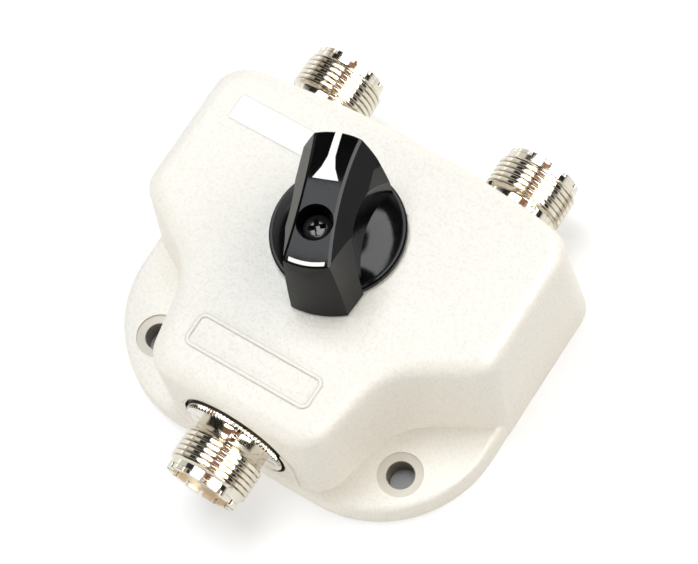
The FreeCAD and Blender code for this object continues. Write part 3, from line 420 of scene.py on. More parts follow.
# %% [markdown]
# ## Metals
#
# The sockets are brass with a bright nickel plate, slightly warm. Plating shows what is
# round it, so most of its look comes from the shape under it. The finish adds faint
# lathe marks round the barrel, a slow change of tint, brown streaks where the plate is
# thin, and fingerprints in the roughness. The bore is rougher and warmer, since no tool
# polishes it. The inner metals use a simpler recipe with their own colours.

# %% Metal finishes
NICKEL = (0.755, 0.712, 0.622)
NICKEL_TARNISHED = (0.560, 0.500, 0.390)
NICKEL_BROWN = (0.290, 0.215, 0.140)
BORE_TINT = (0.950, 0.840, 0.660)
BORE_TINT_RADIUS = 6.1
BORE_TINT_REACH = 13.0
BORE_ROUGHER = 0.30
METAL_SHADE_MM = 5.0
SMEAR_MM = 1.6
LATHE_MARK_MM = 0.3
LATHE_MARK_DEPTH_MM = 0.004
AROUND_THE_BARREL = (0.15, 1.0, 0.15)
ALONG_THE_BARREL = (1.0, 0.05, 1.0)


def metal_noises(finish):
    """The three noises of every metal: slow tint, lathe marks and smeared prints."""
    slow = finish.noise(METAL_SHADE_MM, detail=3.0)
    marks = finish.noise(LATHE_MARK_MM, detail=2.0, stretch=AROUND_THE_BARREL)
    smear = finish.noise(SMEAR_MM, detail=2.0, distortion=0.6)
    return slow, marks, smear


def make_metal(name, colour, tarnish, roughness):
    finish = Finish(name, roughness, metallic=1.0)
    slow, marks, smear = metal_noises(finish)
    finish.colour(finish.blend(finish.spread(slow, *HIGH_RANGE, 0.0, 0.55), colour, tarnish))
    finish.roughness(finish.spread(smear, *EVEN_RANGE, roughness * 0.75, roughness * 1.5))
    finish.bump([(marks, LATHE_MARK_DEPTH_MM)])
    return finish


def make_nickel():
    """Bright nickel with brown and grey streaks along the barrel."""
    finish = Finish("connector_nickel", 0.12, metallic=1.0)
    slow, marks, smear = metal_noises(finish)
    streak = finish.noise(2.4, detail=2.0, stretch=ALONG_THE_BARREL)
    stain = finish.noise(1.3, detail=3.0, distortion=0.8)
    bore = near_socket_axis(finish, BORE_TINT_RADIUS, BORE_TINT_REACH)
    colour = finish.blend(finish.spread(slow, *HIGH_RANGE, 0.0, 0.5), NICKEL, NICKEL_TARNISHED)
    for share, tint in ((finish.spread(streak, 0.56, 0.66, 0.0, 0.75), NICKEL_BROWN),
                        (finish.spread(stain, 0.66, 0.74, 0.0, 0.6), NICKEL_BROWN),
                        (bore, BORE_TINT)):
        colour = finish.blend(share, colour, tint)
    finish.colour(colour)
    polished = finish.spread(smear, *EVEN_RANGE, 0.06, 0.17)
    finish.roughness(finish.math("ADD", polished, finish.math("MULTIPLY", bore, BORE_ROUGHER)))
    finish.bump([(marks, LATHE_MARK_DEPTH_MM)])
    return finish


nickel = make_nickel()
silver = make_metal("contact_silver", (0.860, 0.845, 0.800), NICKEL_TARNISHED, 0.22)
brass = make_metal("turned_brass", (0.760, 0.600, 0.330), (0.52, 0.38, 0.18), 0.26)
bronze = make_metal("spring_bronze", (0.700, 0.470, 0.280), (0.45, 0.28, 0.16), 0.30)
steel = make_metal("spring_steel", (0.560, 0.560, 0.570), (0.36, 0.34, 0.33), 0.28)
zinc = make_metal("screw_steel", (0.660, 0.665, 0.680), (0.50, 0.50, 0.46), 0.32)
print("metals: each has its own colour, tarnish and roughness")

# %% Which inner piece is made of which metal
METAL_NODES = (
    (bronze, ("common_leaf", "port_1_leaf", "port_2_leaf", "port_1_ground_finger",
              "port_2_ground_finger", "rotor_bridge")),
    (brass, ("shaft_bush", "shaft", "rotor_rivets", "knob_hub")),
    (steel, ("wave_washer", "detent_ball", "detent_spring", "shaft_ring", "detent_plate",
             "rotor_ring")),
    (silver, ("common_contact", "port_1_contact", "port_2_contact")),
)
for finish, members in METAL_NODES:
    for member in members:
        paint_node(member, finish)
print("metal nodes:", sum(len(members) for _, members in METAL_NODES))

# %% [markdown]
# ## Plastics, inlays and the label
#
# The knob is moulded in black plastic with a polished surface; a very shallow waviness
# keeps its reflections from being perfect. Its arrow and line are paint filled, so they
# are matt and a little uneven. The beads of the sockets are white PTFE, the rotor is
# brown laminate with a cloth weave, and the label is bare white film with a thin line of
# painted shade along its cut edge.

# %% Knob plastic
KNOB_BLACK = (0.0022, 0.0022, 0.0025)
KNOB_GREY = (0.0050, 0.0050, 0.0053)
KNOB_SHADE_MM = 6.0
WAVE_MM = 1.9
WAVE_DEPTH_MM = 0.010
SCUFF_MM = 0.5
SCUFF_DEPTH_MM = 0.0012


def make_knob_black():
    finish = Finish("knob_black", 0.14, specular=0.125)
    slow = finish.noise(KNOB_SHADE_MM, detail=3.0)
    wave = finish.noise(WAVE_MM, detail=1.0)
    scuff = finish.noise(SCUFF_MM, detail=3.0, stretch=(1.0, 1.0, 0.3))
    finish.colour(finish.blend(finish.spread(slow, *EVEN_RANGE), KNOB_BLACK, KNOB_GREY))
    finish.roughness(finish.spread(scuff, 0.35, 0.70, 0.075, 0.145))
    finish.bump([(wave, WAVE_DEPTH_MM), (scuff, SCUFF_DEPTH_MM)])
    return finish


paint_node("knob", make_knob_black())
print("painted the knob")

# %% Inlays, beads and the knob screw's black
PLAIN_SHADE_MM = 4.0


def make_plain(name, colour, shade, roughness, grain_mm, depth_mm):
    """Non-metal finish with a slow shade and a fine grain."""
    finish = Finish(name, roughness, specular=0.45)
    slow = finish.noise(PLAIN_SHADE_MM, detail=3.0)
    grain = finish.noise(grain_mm, detail=2.0)
    finish.colour(finish.blend(finish.spread(slow, *HIGH_RANGE, 0.0, 0.6), colour, shade))
    finish.roughness(finish.spread(grain, *EVEN_RANGE, roughness * 0.85, roughness * 1.2))
    finish.bump([(grain, depth_mm)])
    return finish


inlay_white = make_plain("inlay_white", (0.900, 0.895, 0.870), (0.80, 0.79, 0.75),
                         roughness=0.5, grain_mm=0.30, depth_mm=0.010)
ptfe = make_plain("insulator_white", (0.860, 0.850, 0.815), (0.78, 0.75, 0.68),
                  roughness=0.42, grain_mm=0.25, depth_mm=0.006)
screw_black = make_plain("screw_black", (0.010, 0.010, 0.011), (0.022, 0.021, 0.020),
                         roughness=0.16, grain_mm=0.2, depth_mm=0.004)
for member in ("pointer_arrow", "tail_line"):
    paint_node(member, inlay_white)
for socket in SOCKETS:
    paint_node(socket + "_insulator", ptfe)
print("painted the inlays and", len(SOCKETS), "beads")

# %% Rotor laminate
LAMINATE = (0.250, 0.120, 0.050)
LAMINATE_DARK = (0.190, 0.085, 0.035)
LAMINATE_STAIN = (0.12, 0.05, 0.02)
LAMINATE_SHADE_MM = 3.0
WEAVE_MM = 0.45
WEAVE_DEPTH_MM = 0.010


def make_laminate():
    finish = Finish("rotor_laminate", 0.45)
    weave = finish.node("ShaderNodeTexChecker")
    weave.inputs["Scale"].default_value = 1.0 / (WEAVE_MM * MM)
    finish.link(finish.place, weave.inputs["Vector"])
    slow = finish.noise(LAMINATE_SHADE_MM, detail=3.0)
    cloth = finish.blend(weave.outputs["Fac"], LAMINATE, LAMINATE_DARK)
    finish.colour(finish.blend(finish.spread(slow, *EVEN_RANGE, 0.0, 0.5), cloth,
                               LAMINATE_STAIN))
    finish.bump([(weave.outputs["Fac"], WEAVE_DEPTH_MM)])
    return finish


paint_node("rotor", make_laminate())
print("painted the rotor")

# %% Label film
LABEL_WHITE = (0.880, 0.880, 0.874)
LABEL_SHADE = (0.850, 0.850, 0.840)
# painted shade along the film's cut edge
LABEL_CUT_EDGE_SHADE = (0.620, 0.605, 0.570)
LABEL_SHADE_MM = 9.0
LABEL_GRAIN_MM = 0.18
LABEL_GRAIN_DEPTH_MM = 0.003
LABEL_EDGE = (0.05, 0.22)


def make_label_film():
    """White film with a thin line of painted shade along its cut edge."""
    finish = Finish("label_film", 0.34, specular=0.45)
    slow = finish.noise(LABEL_SHADE_MM, detail=3.0)
    grain = finish.noise(LABEL_GRAIN_MM, detail=2.0)
    low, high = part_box("label_plate")
    margins = []
    for axis, place in enumerate(finish.axes()[:2]):
        middle = (low[axis] + high[axis]) / 2
        half = (high[axis] - low[axis]) / 2
        away = finish.math("ABSOLUTE", finish.math("SUBTRACT", place, middle))
        margins.append(finish.math("SUBTRACT", half, away))
    margin = finish.math("MINIMUM", *margins)
    colour = finish.blend(finish.spread(slow, *HIGH_RANGE, 0.0, 0.6), LABEL_WHITE, LABEL_SHADE)
    edge = finish.spread(margin, LABEL_EDGE[0] * MM, LABEL_EDGE[1] * MM, 1.0, 0.0)
    # painted shade: a grey band just inside the film's edge
    finish.colour(finish.blend(edge, colour, LABEL_CUT_EDGE_SHADE))
    finish.roughness(finish.spread(grain, *EVEN_RANGE, 0.29, 0.41))
    finish.bump([(grain, LABEL_GRAIN_DEPTH_MM)])
    return finish


paint_node("label_plate", make_label_film())
print("painted the label")

# %% [markdown]
# ## Building meshes
#
# Turned pieces are grids of points: one way round the axis, the other way along the
# profile. A thread is the same grid with the radius raised and lowered along a helix.
# The grid is written out with bmesh, because a screw modifier would leave the start and
# the end of the thread square.

# %% Mesh helpers
BEVEL_ANGLE = math.radians(35.0)


def new_piece(name, mesh_builder, finish, body="switch_body"):
    """Make an object from a bmesh, give it a finish and let it ride on a body."""
    mesh = bpy.data.meshes.new(name)
    mesh_builder.normal_update()
    mesh_builder.to_mesh(mesh)
    mesh_builder.free()
    mesh.shade_smooth()
    mesh.materials.append(finish.material)
    piece = bpy.data.objects.new(name, mesh)
    bpy.context.scene.collection.objects.link(piece)
    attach(piece, body)
    return piece


def closed_grid(rings):
    """Closed tube of quads through equal rings of points; the last joins the first."""
    made = bmesh.new()
    rows = [[made.verts.new(point) for point in ring] for ring in rings]
    count = len(rows[0])
    for i in range(len(rows)):
        upper = rows[(i + 1) % len(rows)]
        lower = rows[i]
        for j in range(count):
            k = (j + 1) % count
            made.faces.new((lower[j], lower[k], upper[k], upper[j]))
    bmesh.ops.recalc_face_normals(made, faces=made.faces)
    return made


def keep_edges_crisp(piece, angle_deg):
    """Smooth the curved faces and keep edges sharper than an angle."""
    piece.data.set_sharp_from_angle(angle=math.radians(angle_deg))


def add_bevel(piece, width_mm):
    bevel = piece.modifiers.new("bevel", "BEVEL")
    bevel.width = width_mm * MM
    bevel.segments = 2
    bevel.limit_method = "ANGLE"
    bevel.angle_limit = BEVEL_ANGLE
    bevel.harden_normals = True


def cut_with(piece, cutter_builder):
    """Cut a closed mesh out of a piece and keep the result as its mesh."""
    mesh = bpy.data.meshes.new("cutter")
    cutter_builder.to_mesh(mesh)
    cutter_builder.free()
    cutter = bpy.data.objects.new("cutter", mesh)
    bpy.context.scene.collection.objects.link(cutter)
    boolean = piece.modifiers.new("cut", "BOOLEAN")
    boolean.operation = "DIFFERENCE"
    boolean.solver = "EXACT"
    boolean.use_self = True
    boolean.object = cutter
    bpy.context.view_layer.update()
    graph = bpy.context.evaluated_depsgraph_get()
    cut = bpy.data.meshes.new_from_object(piece.evaluated_get(graph))
    piece.modifiers.clear()
    piece.data = cut
    bpy.data.objects.remove(cutter)


print("mesh helpers ready")

# %% [markdown]
# ## The threaded sockets
#
# Each socket is a turned shell pressed into the wall: a knurled flange in a round recess,
# a plain neck, just over six turns of a 24-per-inch thread, and a rim cut into twelve low
# teeth that stop a plug from turning. The CAD shell is plain, so three meshes stand for
# it: the barrel with its thread, the flange with its knurl, and the toothed rim. A punch
# mark on the neck, which locks the white bead inside, is cut out with a boolean.

# %% Socket sizes, in millimetres along the socket's axis from its seat
SPIGOT_BACK = -7.6
FLANGE_THICKNESS = 1.5
NECK_END = 3.8
THREAD_END = 10.5
TIP_END = 12.4
BORE_RADIUS = 6.0
SPIGOT_RADIUS = 7.98
NECK_RADIUS = 7.15
THREAD_CREST = 7.93
THREAD_ROOT = 7.28
THREAD_PITCH = 25.4 / 24
TIP_RADIUS = 7.3
FLANGE_RADIUS = 10.28
RIM_TOOTH_MM = 0.9


def on_socket(name, radius, angle, along):
    """Point of a socket, in metres in the frame, from its own round coordinates."""
    x, seat, side = SOCKETS[name]
    return Vector((x + radius * math.cos(angle), seat + side * along,
                   SOCKET_HEIGHT + radius * math.sin(angle))) * MM


def ring_on(name, count, along, radius_at):
    """Ring of points round a socket's axis; radius_at gives the radius of point i."""
    return [on_socket(name, radius_at(i), 2 * math.pi * i / count, along) for i in range(count)]


print("turns of thread:", round((THREAD_END - NECK_END) / THREAD_PITCH, 1))

# %% Barrel with its thread
BARREL_SIDES = 128
THREAD_STEPS = 96
FLANK_SHARE = 0.46
RUN_OUT = 0.5
NECK_CHAMFER = 0.30
RELIEF = 0.05
BARREL_FIT = 0.02


def thread_radius(angle, along):
    """Radius of the thread's surface, with rounded crests and run-outs at both ends."""
    phase = (along / THREAD_PITCH - angle / (2 * math.pi)) % 1.0
    flank = 1.0 - abs(2.0 * phase - 1.0)
    height = min(flank / FLANK_SHARE, 1.0)
    height = height * (2.0 - height)
    start = min(max((along - NECK_END) / RUN_OUT, 0.0), 1.0)
    stop = min(max((THREAD_END - along) / RUN_OUT, 0.0), 1.0)
    return THREAD_ROOT + (THREAD_CREST - THREAD_ROOT) * height * start * stop


def build_barrel(name):
    """Shell without flange and teeth: spigot, neck, thread, rim seat and bore."""
    def plain(radius, along):
        return ring_on(name, BARREL_SIDES, along, lambda i: radius)

    def threaded(along):
        return ring_on(name, BARREL_SIDES, along,
                       lambda i: thread_radius(2 * math.pi * i / BARREL_SIDES, along))

    rim_seat = TIP_END - RIM_TOOTH_MM
    rings = [plain(BORE_RADIUS, SPIGOT_BACK), plain(SPIGOT_RADIUS, SPIGOT_BACK),
             plain(SPIGOT_RADIUS, 0.0), plain(NECK_RADIUS, BARREL_FIT),
             plain(NECK_RADIUS, NECK_END - NECK_CHAMFER),
             plain(THREAD_ROOT - RELIEF, NECK_END - RELIEF)]
    rings += [threaded(NECK_END + (THREAD_END - NECK_END) * k / THREAD_STEPS)
              for k in range(THREAD_STEPS + 1)]
    rings += [plain(TIP_RADIUS - BARREL_FIT, THREAD_END + RELIEF),
              plain(TIP_RADIUS - BARREL_FIT, rim_seat), plain(BORE_RADIUS, rim_seat)]
    return closed_grid(rings)


print("barrel:", BARREL_SIDES, "points round,", THREAD_STEPS, "steps of thread")

# %% Knurled flange
KNURL_TEETH = 76
KNURL_DEPTH = 0.34
FLANGE_CHAMFER = 0.25
FLANGE_FACE_CHAMFER = 0.28
FLANGE_OVERLAP = 0.1


def build_flange(name):
    """Round flange whose edge is knurled along the axis, four points to a tooth."""
    tooth = (KNURL_DEPTH, KNURL_DEPTH * 0.35, 0.0, KNURL_DEPTH * 0.35)
    inner = NECK_RADIUS - FLANGE_OVERLAP
    profile = ((inner, 0.0, 0.0), (FLANGE_RADIUS - FLANGE_CHAMFER, 0.0, 0.4),
               (FLANGE_RADIUS, FLANGE_CHAMFER, 1.0),
               (FLANGE_RADIUS, FLANGE_THICKNESS - FLANGE_CHAMFER, 1.0),
               (FLANGE_RADIUS - FLANGE_FACE_CHAMFER, FLANGE_THICKNESS, 0.3),
               (inner, FLANGE_THICKNESS, 0.0))
    return closed_grid([
        ring_on(name, KNURL_TEETH * 4, along, lambda i: radius - cut * tooth[i % 4])
        for radius, along, cut in profile])


print("flange:", KNURL_TEETH, "knurl teeth")

# %% Toothed rim
RIM_TEETH = 12
RIM_GAP_MM = 0.65
RIM_BEVEL_MM = 0.14
RIM_OVERLAP = 0.02
TOOTH_STEPS = 6


def build_rim(name):
    """Twelve separate teeth that stand on the end of the barrel."""
    made = bmesh.new()
    half = math.pi / RIM_TEETH - RIM_GAP_MM / 2 / TIP_RADIUS
    foot = TIP_END - RIM_TOOTH_MM - RIM_OVERLAP
    outline = ((BORE_RADIUS, foot), (TIP_RADIUS, foot), (TIP_RADIUS, TIP_END),
               (BORE_RADIUS, TIP_END))
    for tooth in range(RIM_TEETH):
        centre = 2 * math.pi * tooth / RIM_TEETH
        sections = []
        for k in range(TOOTH_STEPS + 1):
            angle = centre - half + 2 * half * k / TOOTH_STEPS
            sections.append([made.verts.new(on_socket(name, radius, angle, along))
                             for radius, along in outline])
        for a, b in zip(sections, sections[1:]):
            for i in range(4):
                k = (i + 1) % 4
                made.faces.new((a[i], a[k], b[k], b[i]))
        made.faces.new(sections[0])
        made.faces.new(sections[-1][::-1])
    bmesh.ops.recalc_face_normals(made, faces=made.faces)
    return made


print("rim:", RIM_TEETH, "teeth")

# %% Punch mark
PUNCH_BALL = 0.85
PUNCH_DEPTH = 0.45
PUNCH_MARKS = {                      # degrees round the socket, millimetres along it
    "common": (71.0, 2.35),
    "port_1": (62.5, 3.0),
    "port_2": (56.0, 3.0),
}


def build_punch(name):
    """Ball that cuts the punch mark into a socket's neck."""
    angle_deg, along = PUNCH_MARKS[name]
    centre = on_socket(name, NECK_RADIUS + PUNCH_BALL - PUNCH_DEPTH, math.radians(angle_deg),
                       along)
    made = bmesh.new()
    bmesh.ops.create_icosphere(made, subdivisions=4, radius=PUNCH_BALL * MM,
                               matrix=Matrix.Translation(centre))
    return made


print("punch marks:", len(PUNCH_MARKS))

# %% Put the three sockets together
for socket in SOCKETS:
    barrel = new_piece(socket + "_barrel", build_barrel(socket), nickel)
    cut_with(barrel, build_punch(socket))
    keep_edges_crisp(barrel, 50.0)
    flange = new_piece(socket + "_flange", build_flange(socket), nickel)
    keep_edges_crisp(flange, 40.0)
    rim = new_piece(socket + "_rim", build_rim(socket), nickel)
    keep_edges_crisp(rim, 40.0)
    add_bevel(rim, RIM_BEVEL_MM)
    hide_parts(socket + "_shell")
    print(socket, "socket:", len(barrel.data.vertices), "barrel points")

# %% [markdown]
# ## Screws
#
# The screw in the knob is a black pan head with a cross drive; the cover is held by four
# countersunk screws with the same drive. The drive is a cross-shaped pyramid cut out of
# the head, and a boolean is the plain way to cut it.

# %% Turned solids and the cross drive
SCREW_EDGE_DEG = 35.0
SHANK_RADIUS = 1.48
CROSS_RISE = 0.3           # of the cutter above the head, so that it cuts cleanly
CROSS_SPAN_TAPER = 0.45
CROSS_WIDTH_TAPER = 0.7


def build_turned(points, centre, steps=48):
    """Closed solid of revolution about a vertical axis through centre, in mm."""
    made = bmesh.new()
    rows = []
    for radius, height in points:
        if radius == 0:
            rows.append([made.verts.new(Vector((centre[0], centre[1], height)) * MM)])
            continue
        rows.append([made.verts.new(Vector((
            centre[0] + radius * math.cos(2 * math.pi * i / steps),
            centre[1] + radius * math.sin(2 * math.pi * i / steps), height)) * MM)
            for i in range(steps)])
    for a, b in zip(rows, rows[1:]):
        for i in range(steps):
            k = (i + 1) % steps
            corners = [a[i % len(a)], a[k % len(a)], b[k % len(b)], b[i % len(b)]]
            made.faces.new(list(dict.fromkeys(corners)))
    bmesh.ops.recalc_face_normals(made, faces=made.faces)
    return made


def build_cross(centre, mouth, depth, span, width, turn, downward=False):
    """Tapered cross that cuts the drive of a screw."""
    made = bmesh.new()
    sign = -1.0 if downward else 1.0
    base = Vector((centre[0], centre[1], 0))
    rise = Vector((0, 0, mouth + sign * CROSS_RISE))
    sink = Vector((0, 0, mouth - sign * depth))
    for arm in range(2):
        angle = turn + arm * math.pi / 2
        along = Vector((math.cos(angle), math.sin(angle), 0))
        side = Vector((-math.sin(angle), math.cos(angle), 0))
        top, bottom = [], []
        for a, s in ((1, 1), (-1, 1), (-1, -1), (1, -1)):
            top.append(made.verts.new((base + along * a * span + side * s * width + rise) * MM))
            bottom.append(made.verts.new((base + along * a * span * CROSS_SPAN_TAPER
                                          + side * s * width * CROSS_WIDTH_TAPER + sink) * MM))
        made.faces.new(top)
        made.faces.new(bottom[::-1])
        for i in range(4):
            k = (i + 1) % 4
            made.faces.new((top[i], bottom[i], bottom[k], top[k]))
    bmesh.ops.recalc_face_normals(made, faces=made.faces)
    return made


print("screw helpers ready")

# %% Knob screw
POINTER_ANGLE = math.radians(20.0)
BODY_HEIGHT = 28.4
KNOB_RISE = 17.3
KNOB_RECESS = 3.4
KNOB_SEAT_HEIGHT = BODY_HEIGHT + KNOB_RISE - KNOB_RECESS
KNOB_SCREW_OFFSET = 5.7
KNOB_SCREW_FOOT = 29.2
KNOB_SCREW_HEAD = 2.75
KNOB_SCREW_RISE = 2.4
KNOB_SCREW_CROWN = (                 # share of the head's radius, depth under its top
    (1.0, 1.05), (0.97, 0.70), (0.88, 0.38), (0.70, 0.14), (0.4, 0.02))
KNOB_CROSS_TURN = math.radians(20)


def make_knob_screw():
    centre = (KNOB_SCREW_OFFSET * math.sin(POINTER_ANGLE),
              -KNOB_SCREW_OFFSET * math.cos(POINTER_ANGLE))
    top = KNOB_SEAT_HEIGHT + KNOB_SCREW_RISE
    points = [(0, KNOB_SCREW_FOOT), (SHANK_RADIUS, KNOB_SCREW_FOOT),
              (SHANK_RADIUS, KNOB_SEAT_HEIGHT), (KNOB_SCREW_HEAD, KNOB_SEAT_HEIGHT)]
    points += [(KNOB_SCREW_HEAD * share, top - under) for share, under in KNOB_SCREW_CROWN]
    points.append((0, top))
    screw = new_piece("knob_screw_cross", build_turned(points, centre), screw_black,
                      body="selector")
    cut_with(screw, build_cross(centre, top, depth=1.60, span=1.90, width=0.50,
                                turn=POINTER_ANGLE + KNOB_CROSS_TURN))
    keep_edges_crisp(screw, SCREW_EDGE_DEG)
    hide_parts("knob_screw")


make_knob_screw()
print("knob screw made")

# %% Cover screws
COVER_SCREWS = ((31.0, 12.6), (-31.0, 12.6), (13.6, -31.2), (-13.6, -31.2))
COVER_SCREW_FACE = 0.02
COVER_SCREW_PROFILE = ((0, 9.0), (SHANK_RADIUS, 9.0), (SHANK_RADIUS, 1.5), (2.72, 0.10),
                       (2.70, COVER_SCREW_FACE), (0, COVER_SCREW_FACE))


def make_cover_screws():
    made = []
    for i, centre in enumerate(COVER_SCREWS):
        screw = new_piece(f"cover_screw_{i + 1}", build_turned(COVER_SCREW_PROFILE, centre, 40),
                          zinc)
        cut_with(screw, build_cross(centre, COVER_SCREW_FACE, depth=1.2, span=1.4, width=0.32,
                                    turn=0.5 + i, downward=True))
        keep_edges_crisp(screw, SCREW_EDGE_DEG)
        made.append(screw)
    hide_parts("cover_screws")
    return made


print("cover screws:", len(make_cover_screws()))

# %% [markdown]
# ## Floor
#
# The switch lies on a white sheet, so the background is plain white and only a soft
# shadow shows. The floor's own colour is a light grey; what is missing to full white is
# added for the camera and for mirror-like pieces only, and the shadow stays. It isn't
# added under the two mounting holes, which would glow. A brighter floor would do the
# same, but would wash the shadow out.

# %% Floor
FLOOR_SIZE = 6.0
FLOOR_DROP_MM = 0.05
FLOOR_COLOUR = (0.60, 0.60, 0.60)
FLOOR_LIFT = 0.47
HOLE_DARK_RADIUS = 3.4
HOLE_DARK_EDGE = 0.5


def lift_outside_holes(tree):
    """Strength of the lift: full on the open floor, none under the mounting holes."""
    place = tree.nodes.new("ShaderNodeTexCoord")
    split = tree.nodes.new("ShaderNodeSeparateXYZ")
    tree.links.new(place.outputs["Object"], split.inputs["Vector"])
    folded = tree.nodes.new("ShaderNodeCombineXYZ")
    tree.links.new(math_node(tree, "ABSOLUTE", split.outputs["X"]), folded.inputs["X"])
    tree.links.new(split.outputs["Y"], folded.inputs["Y"])
    apart = tree.nodes.new("ShaderNodeVectorMath")
    apart.operation = "DISTANCE"
    apart.inputs[1].default_value = (EAR_HOLE[0] * MM, EAR_HOLE[1] * MM, 0.0)
    tree.links.new(folded.outputs["Vector"], apart.inputs[0])
    return range_node(tree, apart.outputs["Value"], HOLE_DARK_RADIUS * MM,
                      (HOLE_DARK_RADIUS + HOLE_DARK_EDGE) * MM, 0.0, FLOOR_LIFT)


def make_floor():
    mesh = bpy.data.meshes.new("floor")
    half = FLOOR_SIZE / 2
    mesh.from_pydata([(-half, -half, 0), (half, -half, 0), (half, half, 0), (-half, half, 0)],
                     [], [(0, 1, 2, 3)])
    floor = bpy.data.objects.new("floor", mesh)
    floor.location.z = -FLOOR_DROP_MM * MM
    bpy.context.scene.collection.objects.link(floor)
    material = bpy.data.materials.new("floor_white")
    material.use_nodes = True
    tree = material.node_tree
    tree.nodes.clear()
    output = tree.nodes.new("ShaderNodeOutputMaterial")
    diffuse = tree.nodes.new("ShaderNodeBsdfDiffuse")
    diffuse.inputs["Color"].default_value = (*FLOOR_COLOUR, 1.0)
    path = tree.nodes.new("ShaderNodeLightPath")
    seen = math_node(tree, "MAXIMUM", path.outputs["Is Camera Ray"],
                     path.outputs["Is Glossy Ray"])
    lift = tree.nodes.new("ShaderNodeEmission")
    feed(tree, lift.inputs["Strength"],
         math_node(tree, "MULTIPLY", seen, lift_outside_holes(tree)))
    add = tree.nodes.new("ShaderNodeAddShader")
    tree.links.new(diffuse.outputs["BSDF"], add.inputs[0])
    tree.links.new(lift.outputs["Emission"], add.inputs[1])
    tree.links.new(add.outputs["Shader"], output.inputs["Surface"])
    mesh.materials.append(material)


make_floor()
print("floor:", FLOOR_SIZE, "m wide")

# %% [markdown]
# ## Light
#
# One soft lamp hangs overhead. The rest of the light comes from the world: a window on
# the right and soft cards in front, on the left and at the back right, each a smooth
# patch of brightness in one direction. More lamps could do this, but plating would show
# each of them. Shiny pieces see a plain room instead: the window, a pale band along the
# horizon, a pale wall at the back left, a brown ceiling, and dark elsewhere.

# %% Directions and smooth patches of the world
ALONG_BAR = (-math.sin(POINTER_ANGLE), math.cos(POINTER_ANGLE), 0.0)
ACROSS_BAR = (math.cos(POINTER_ANGLE), math.sin(POINTER_ANGLE), 0.0)
BACK_RIGHT = (0.60, 0.80, 0.0)
FRONT_WAY = (-0.20, -0.98, 0.0)
LEFT_WAY = (-1.0, 0.0, 0.0)
BACK_WAY = (0.0, 1.0, 0.0)


def toward(tree, direction, way):
    """How far a direction points a given way, from -1 to 1."""
    dot = tree.nodes.new("ShaderNodeVectorMath")
    dot.operation = "DOT_PRODUCT"
    dot.inputs[1].default_value = way
    tree.links.new(direction, dot.inputs[0])
    return dot.outputs["Value"]


def fade(tree, value, low, high, at_low, at_high):
    """Strength that changes smoothly with a height or with a way."""
    return range_node(tree, value, low, high, at_low, at_high, "SMOOTHSTEP")


def window_card(tree, direction, height):
    """1 in the directions of the wide window on the right, 0 elsewhere."""
    along = toward(tree, direction, ALONG_BAR)
    across = toward(tree, direction, ACROSS_BAR)
    card = fade(tree, height, 0.41, 0.46, 0.0, 1.0)
    for value, low, high, at_low, at_high in (
            (height, 0.81, 0.85, 1.0, 0.0),
            (along, -0.52, -0.44, 0.0, 1.0),
            (along, 0.66, 0.76, 1.0, 0.0),
            (across, 0.30, 0.40, 0.0, 1.0)):
        card = math_node(tree, "MULTIPLY", card,
                         fade(tree, value, low, high, at_low, at_high))
    return card


print("window runs along the bar of the knob at rest")

# %% What lights the matt pieces
SKY_LOW = 0.40
SKY_HIGH = 0.05
WINDOW_LIGHT = 1.54
SOFT_CARDS = (             # strength, way, heights it fades over, edge of the card
    (2.31, BACK_RIGHT, (0.30, 0.60), (0.70, 0.96)),
    (2.72, FRONT_WAY, (0.25, 0.50), (0.35, 0.92)),
    (0.25, LEFT_WAY, (0.25, 0.50), (0.35, 0.92)),
)


def daylight(tree, direction, height, window):
    """A dim sky, the soft cards and the window."""
    total = fade(tree, height, 0.20, 0.48, SKY_LOW, SKY_HIGH)
    for strength, way, heights, edge in SOFT_CARDS:
        card = math_node(tree, "MULTIPLY", fade(tree, height, *heights, strength, 0.0),
                         fade(tree, toward(tree, direction, way), *edge, 0.0, 1.0))
        total = math_node(tree, "ADD", total, card)
    return math_node(tree, "MULTIPLY_ADD", window, WINDOW_LIGHT, total)


print("soft cards:", len(SOFT_CARDS))

# %% What shiny pieces mirror
ROOM_STRENGTH = 0.03
CEILING_STRENGTH = 0.9
SIDE_WALL_STRENGTH = 0.85
WINDOW_SHINE = 13.0


def plain_room(tree, direction, height, window):
    """The window, a pale horizon, the ceiling and the wall at the back left."""
    room = math_node(tree, "ADD", fade(tree, height, 0.02, 0.16, 1.0, ROOM_STRENGTH),
                     fade(tree, height, 0.85, 0.88, 0.0, CEILING_STRENGTH))
    left = toward(tree, direction, LEFT_WAY)
    wall = math_node(tree, "MULTIPLY", fade(tree, left, 0.30, 0.50, 0.0, SIDE_WALL_STRENGTH),
                     fade(tree, height, 0.53, 0.58, 1.0, 0.0))
    behind = toward(tree, direction, BACK_WAY)
    wall = math_node(tree, "MULTIPLY", wall, fade(tree, behind, 0.05, 0.16, 0.0, 1.0))
    return math_node(tree, "MULTIPLY_ADD", window, WINDOW_SHINE,
                     math_node(tree, "ADD", room, wall))


print("window seen by shiny pieces:", WINDOW_SHINE)

# %% World
SKY_WARM = (1.0, 0.960, 0.890)
ROOM_WHITE = (1.0, 1.0, 1.0)
CEILING_BROWN = (0.40, 0.20, 0.12)


def background(tree, strength, colour):
    made = tree.nodes.new("ShaderNodeBackground")
    feed(tree, made.inputs["Strength"], strength)
    feed(tree, made.inputs["Color"], colour)
    return made.outputs["Background"]


def mix_shaders(tree, share, first, second):
    made = tree.nodes.new("ShaderNodeMixShader")
    for socket, source in zip(made.inputs, (share, first, second)):
        tree.links.new(source, socket)
    return made.outputs["Shader"]


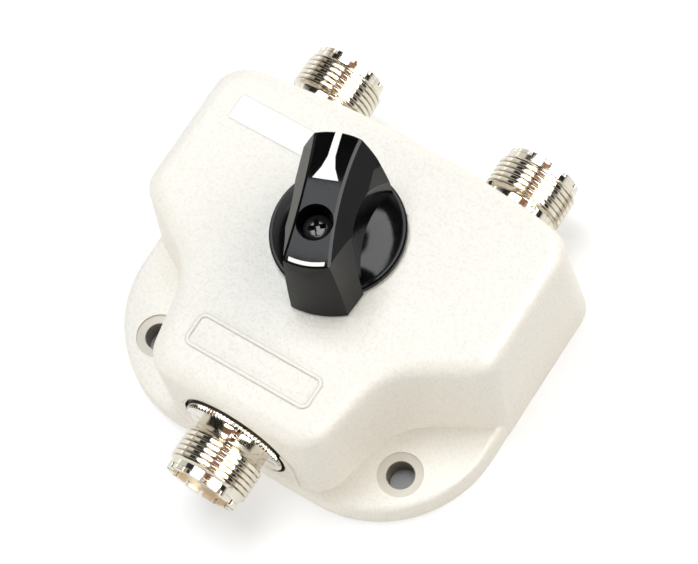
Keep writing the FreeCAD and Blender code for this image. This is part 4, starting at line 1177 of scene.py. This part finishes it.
def make_world():
    world = bpy.data.worlds.new("studio")
    bpy.context.scene.world = world
    world.use_nodes = True
    tree = world.node_tree
    tree.nodes.clear()
    direction = tree.nodes.new("ShaderNodeTexCoord").outputs["Generated"]
    split = tree.nodes.new("ShaderNodeSeparateXYZ")
    tree.links.new(direction, split.inputs["Vector"])
    height = split.outputs["Z"]
    window = window_card(tree, direction, height)
    tint = mix_node(tree, fade(tree, height, 0.84, 0.88, 0.0, 1.0), ROOM_WHITE, CEILING_BROWN)
    matt = background(tree, daylight(tree, direction, height, window), (*SKY_WARM, 1.0))
    shiny = background(tree, plain_room(tree, direction, height, window), tint)
    open_view = tree.nodes.new("ShaderNodeBackground").outputs["Background"]
    path = tree.nodes.new("ShaderNodeLightPath")
    seen = mix_shaders(tree, path.outputs["Is Glossy Ray"], matt, shiny)
    seen = mix_shaders(tree, path.outputs["Is Camera Ray"], seen, open_view)
    output = tree.nodes.new("ShaderNodeOutputWorld")
    tree.links.new(seen, output.inputs["Surface"])


make_world()
print("world ready: daylight for matt pieces, a plain room for shiny ones")

# %% Overhead lamp
LAMP_COLOUR = (0.910, 0.960, 1.0)
LAMP_WAY = (-0.205, 0.130, 0.93)
LAMP_DISTANCE = 0.9
LAMP_SIZE = (0.47, 0.50)
LAMP_WATTS = 6.10
LAMP_TARGET_MM = 15


def make_lamp():
    """Rectangular area lamp that points at the switch, its width along the bar."""
    data = bpy.data.lights.new("overhead_lamp", "AREA")
    data.shape = "RECTANGLE"
    data.size, data.size_y = LAMP_SIZE
    data.energy = LAMP_WATTS
    data.color = LAMP_COLOUR
    lamp = bpy.data.objects.new("overhead_lamp", data)
    bpy.context.scene.collection.objects.link(lamp)
    aim = Vector(LAMP_WAY).normalized()
    lamp.location = Vector((0, 0, LAMP_TARGET_MM * MM)) + aim * LAMP_DISTANCE
    height_way = aim.cross(Vector(ALONG_BAR)).normalized()
    width_way = height_way.cross(aim)
    lamp.rotation_mode = "QUATERNION"
    lamp.rotation_quaternion = Matrix((width_way, height_way, aim)).transposed().to_quaternion()
    return lamp


lamp = make_lamp()
bpy.context.scene.view_settings.view_transform = "Standard"
print("lamp in watts:", round(lamp.data.energy, 2))
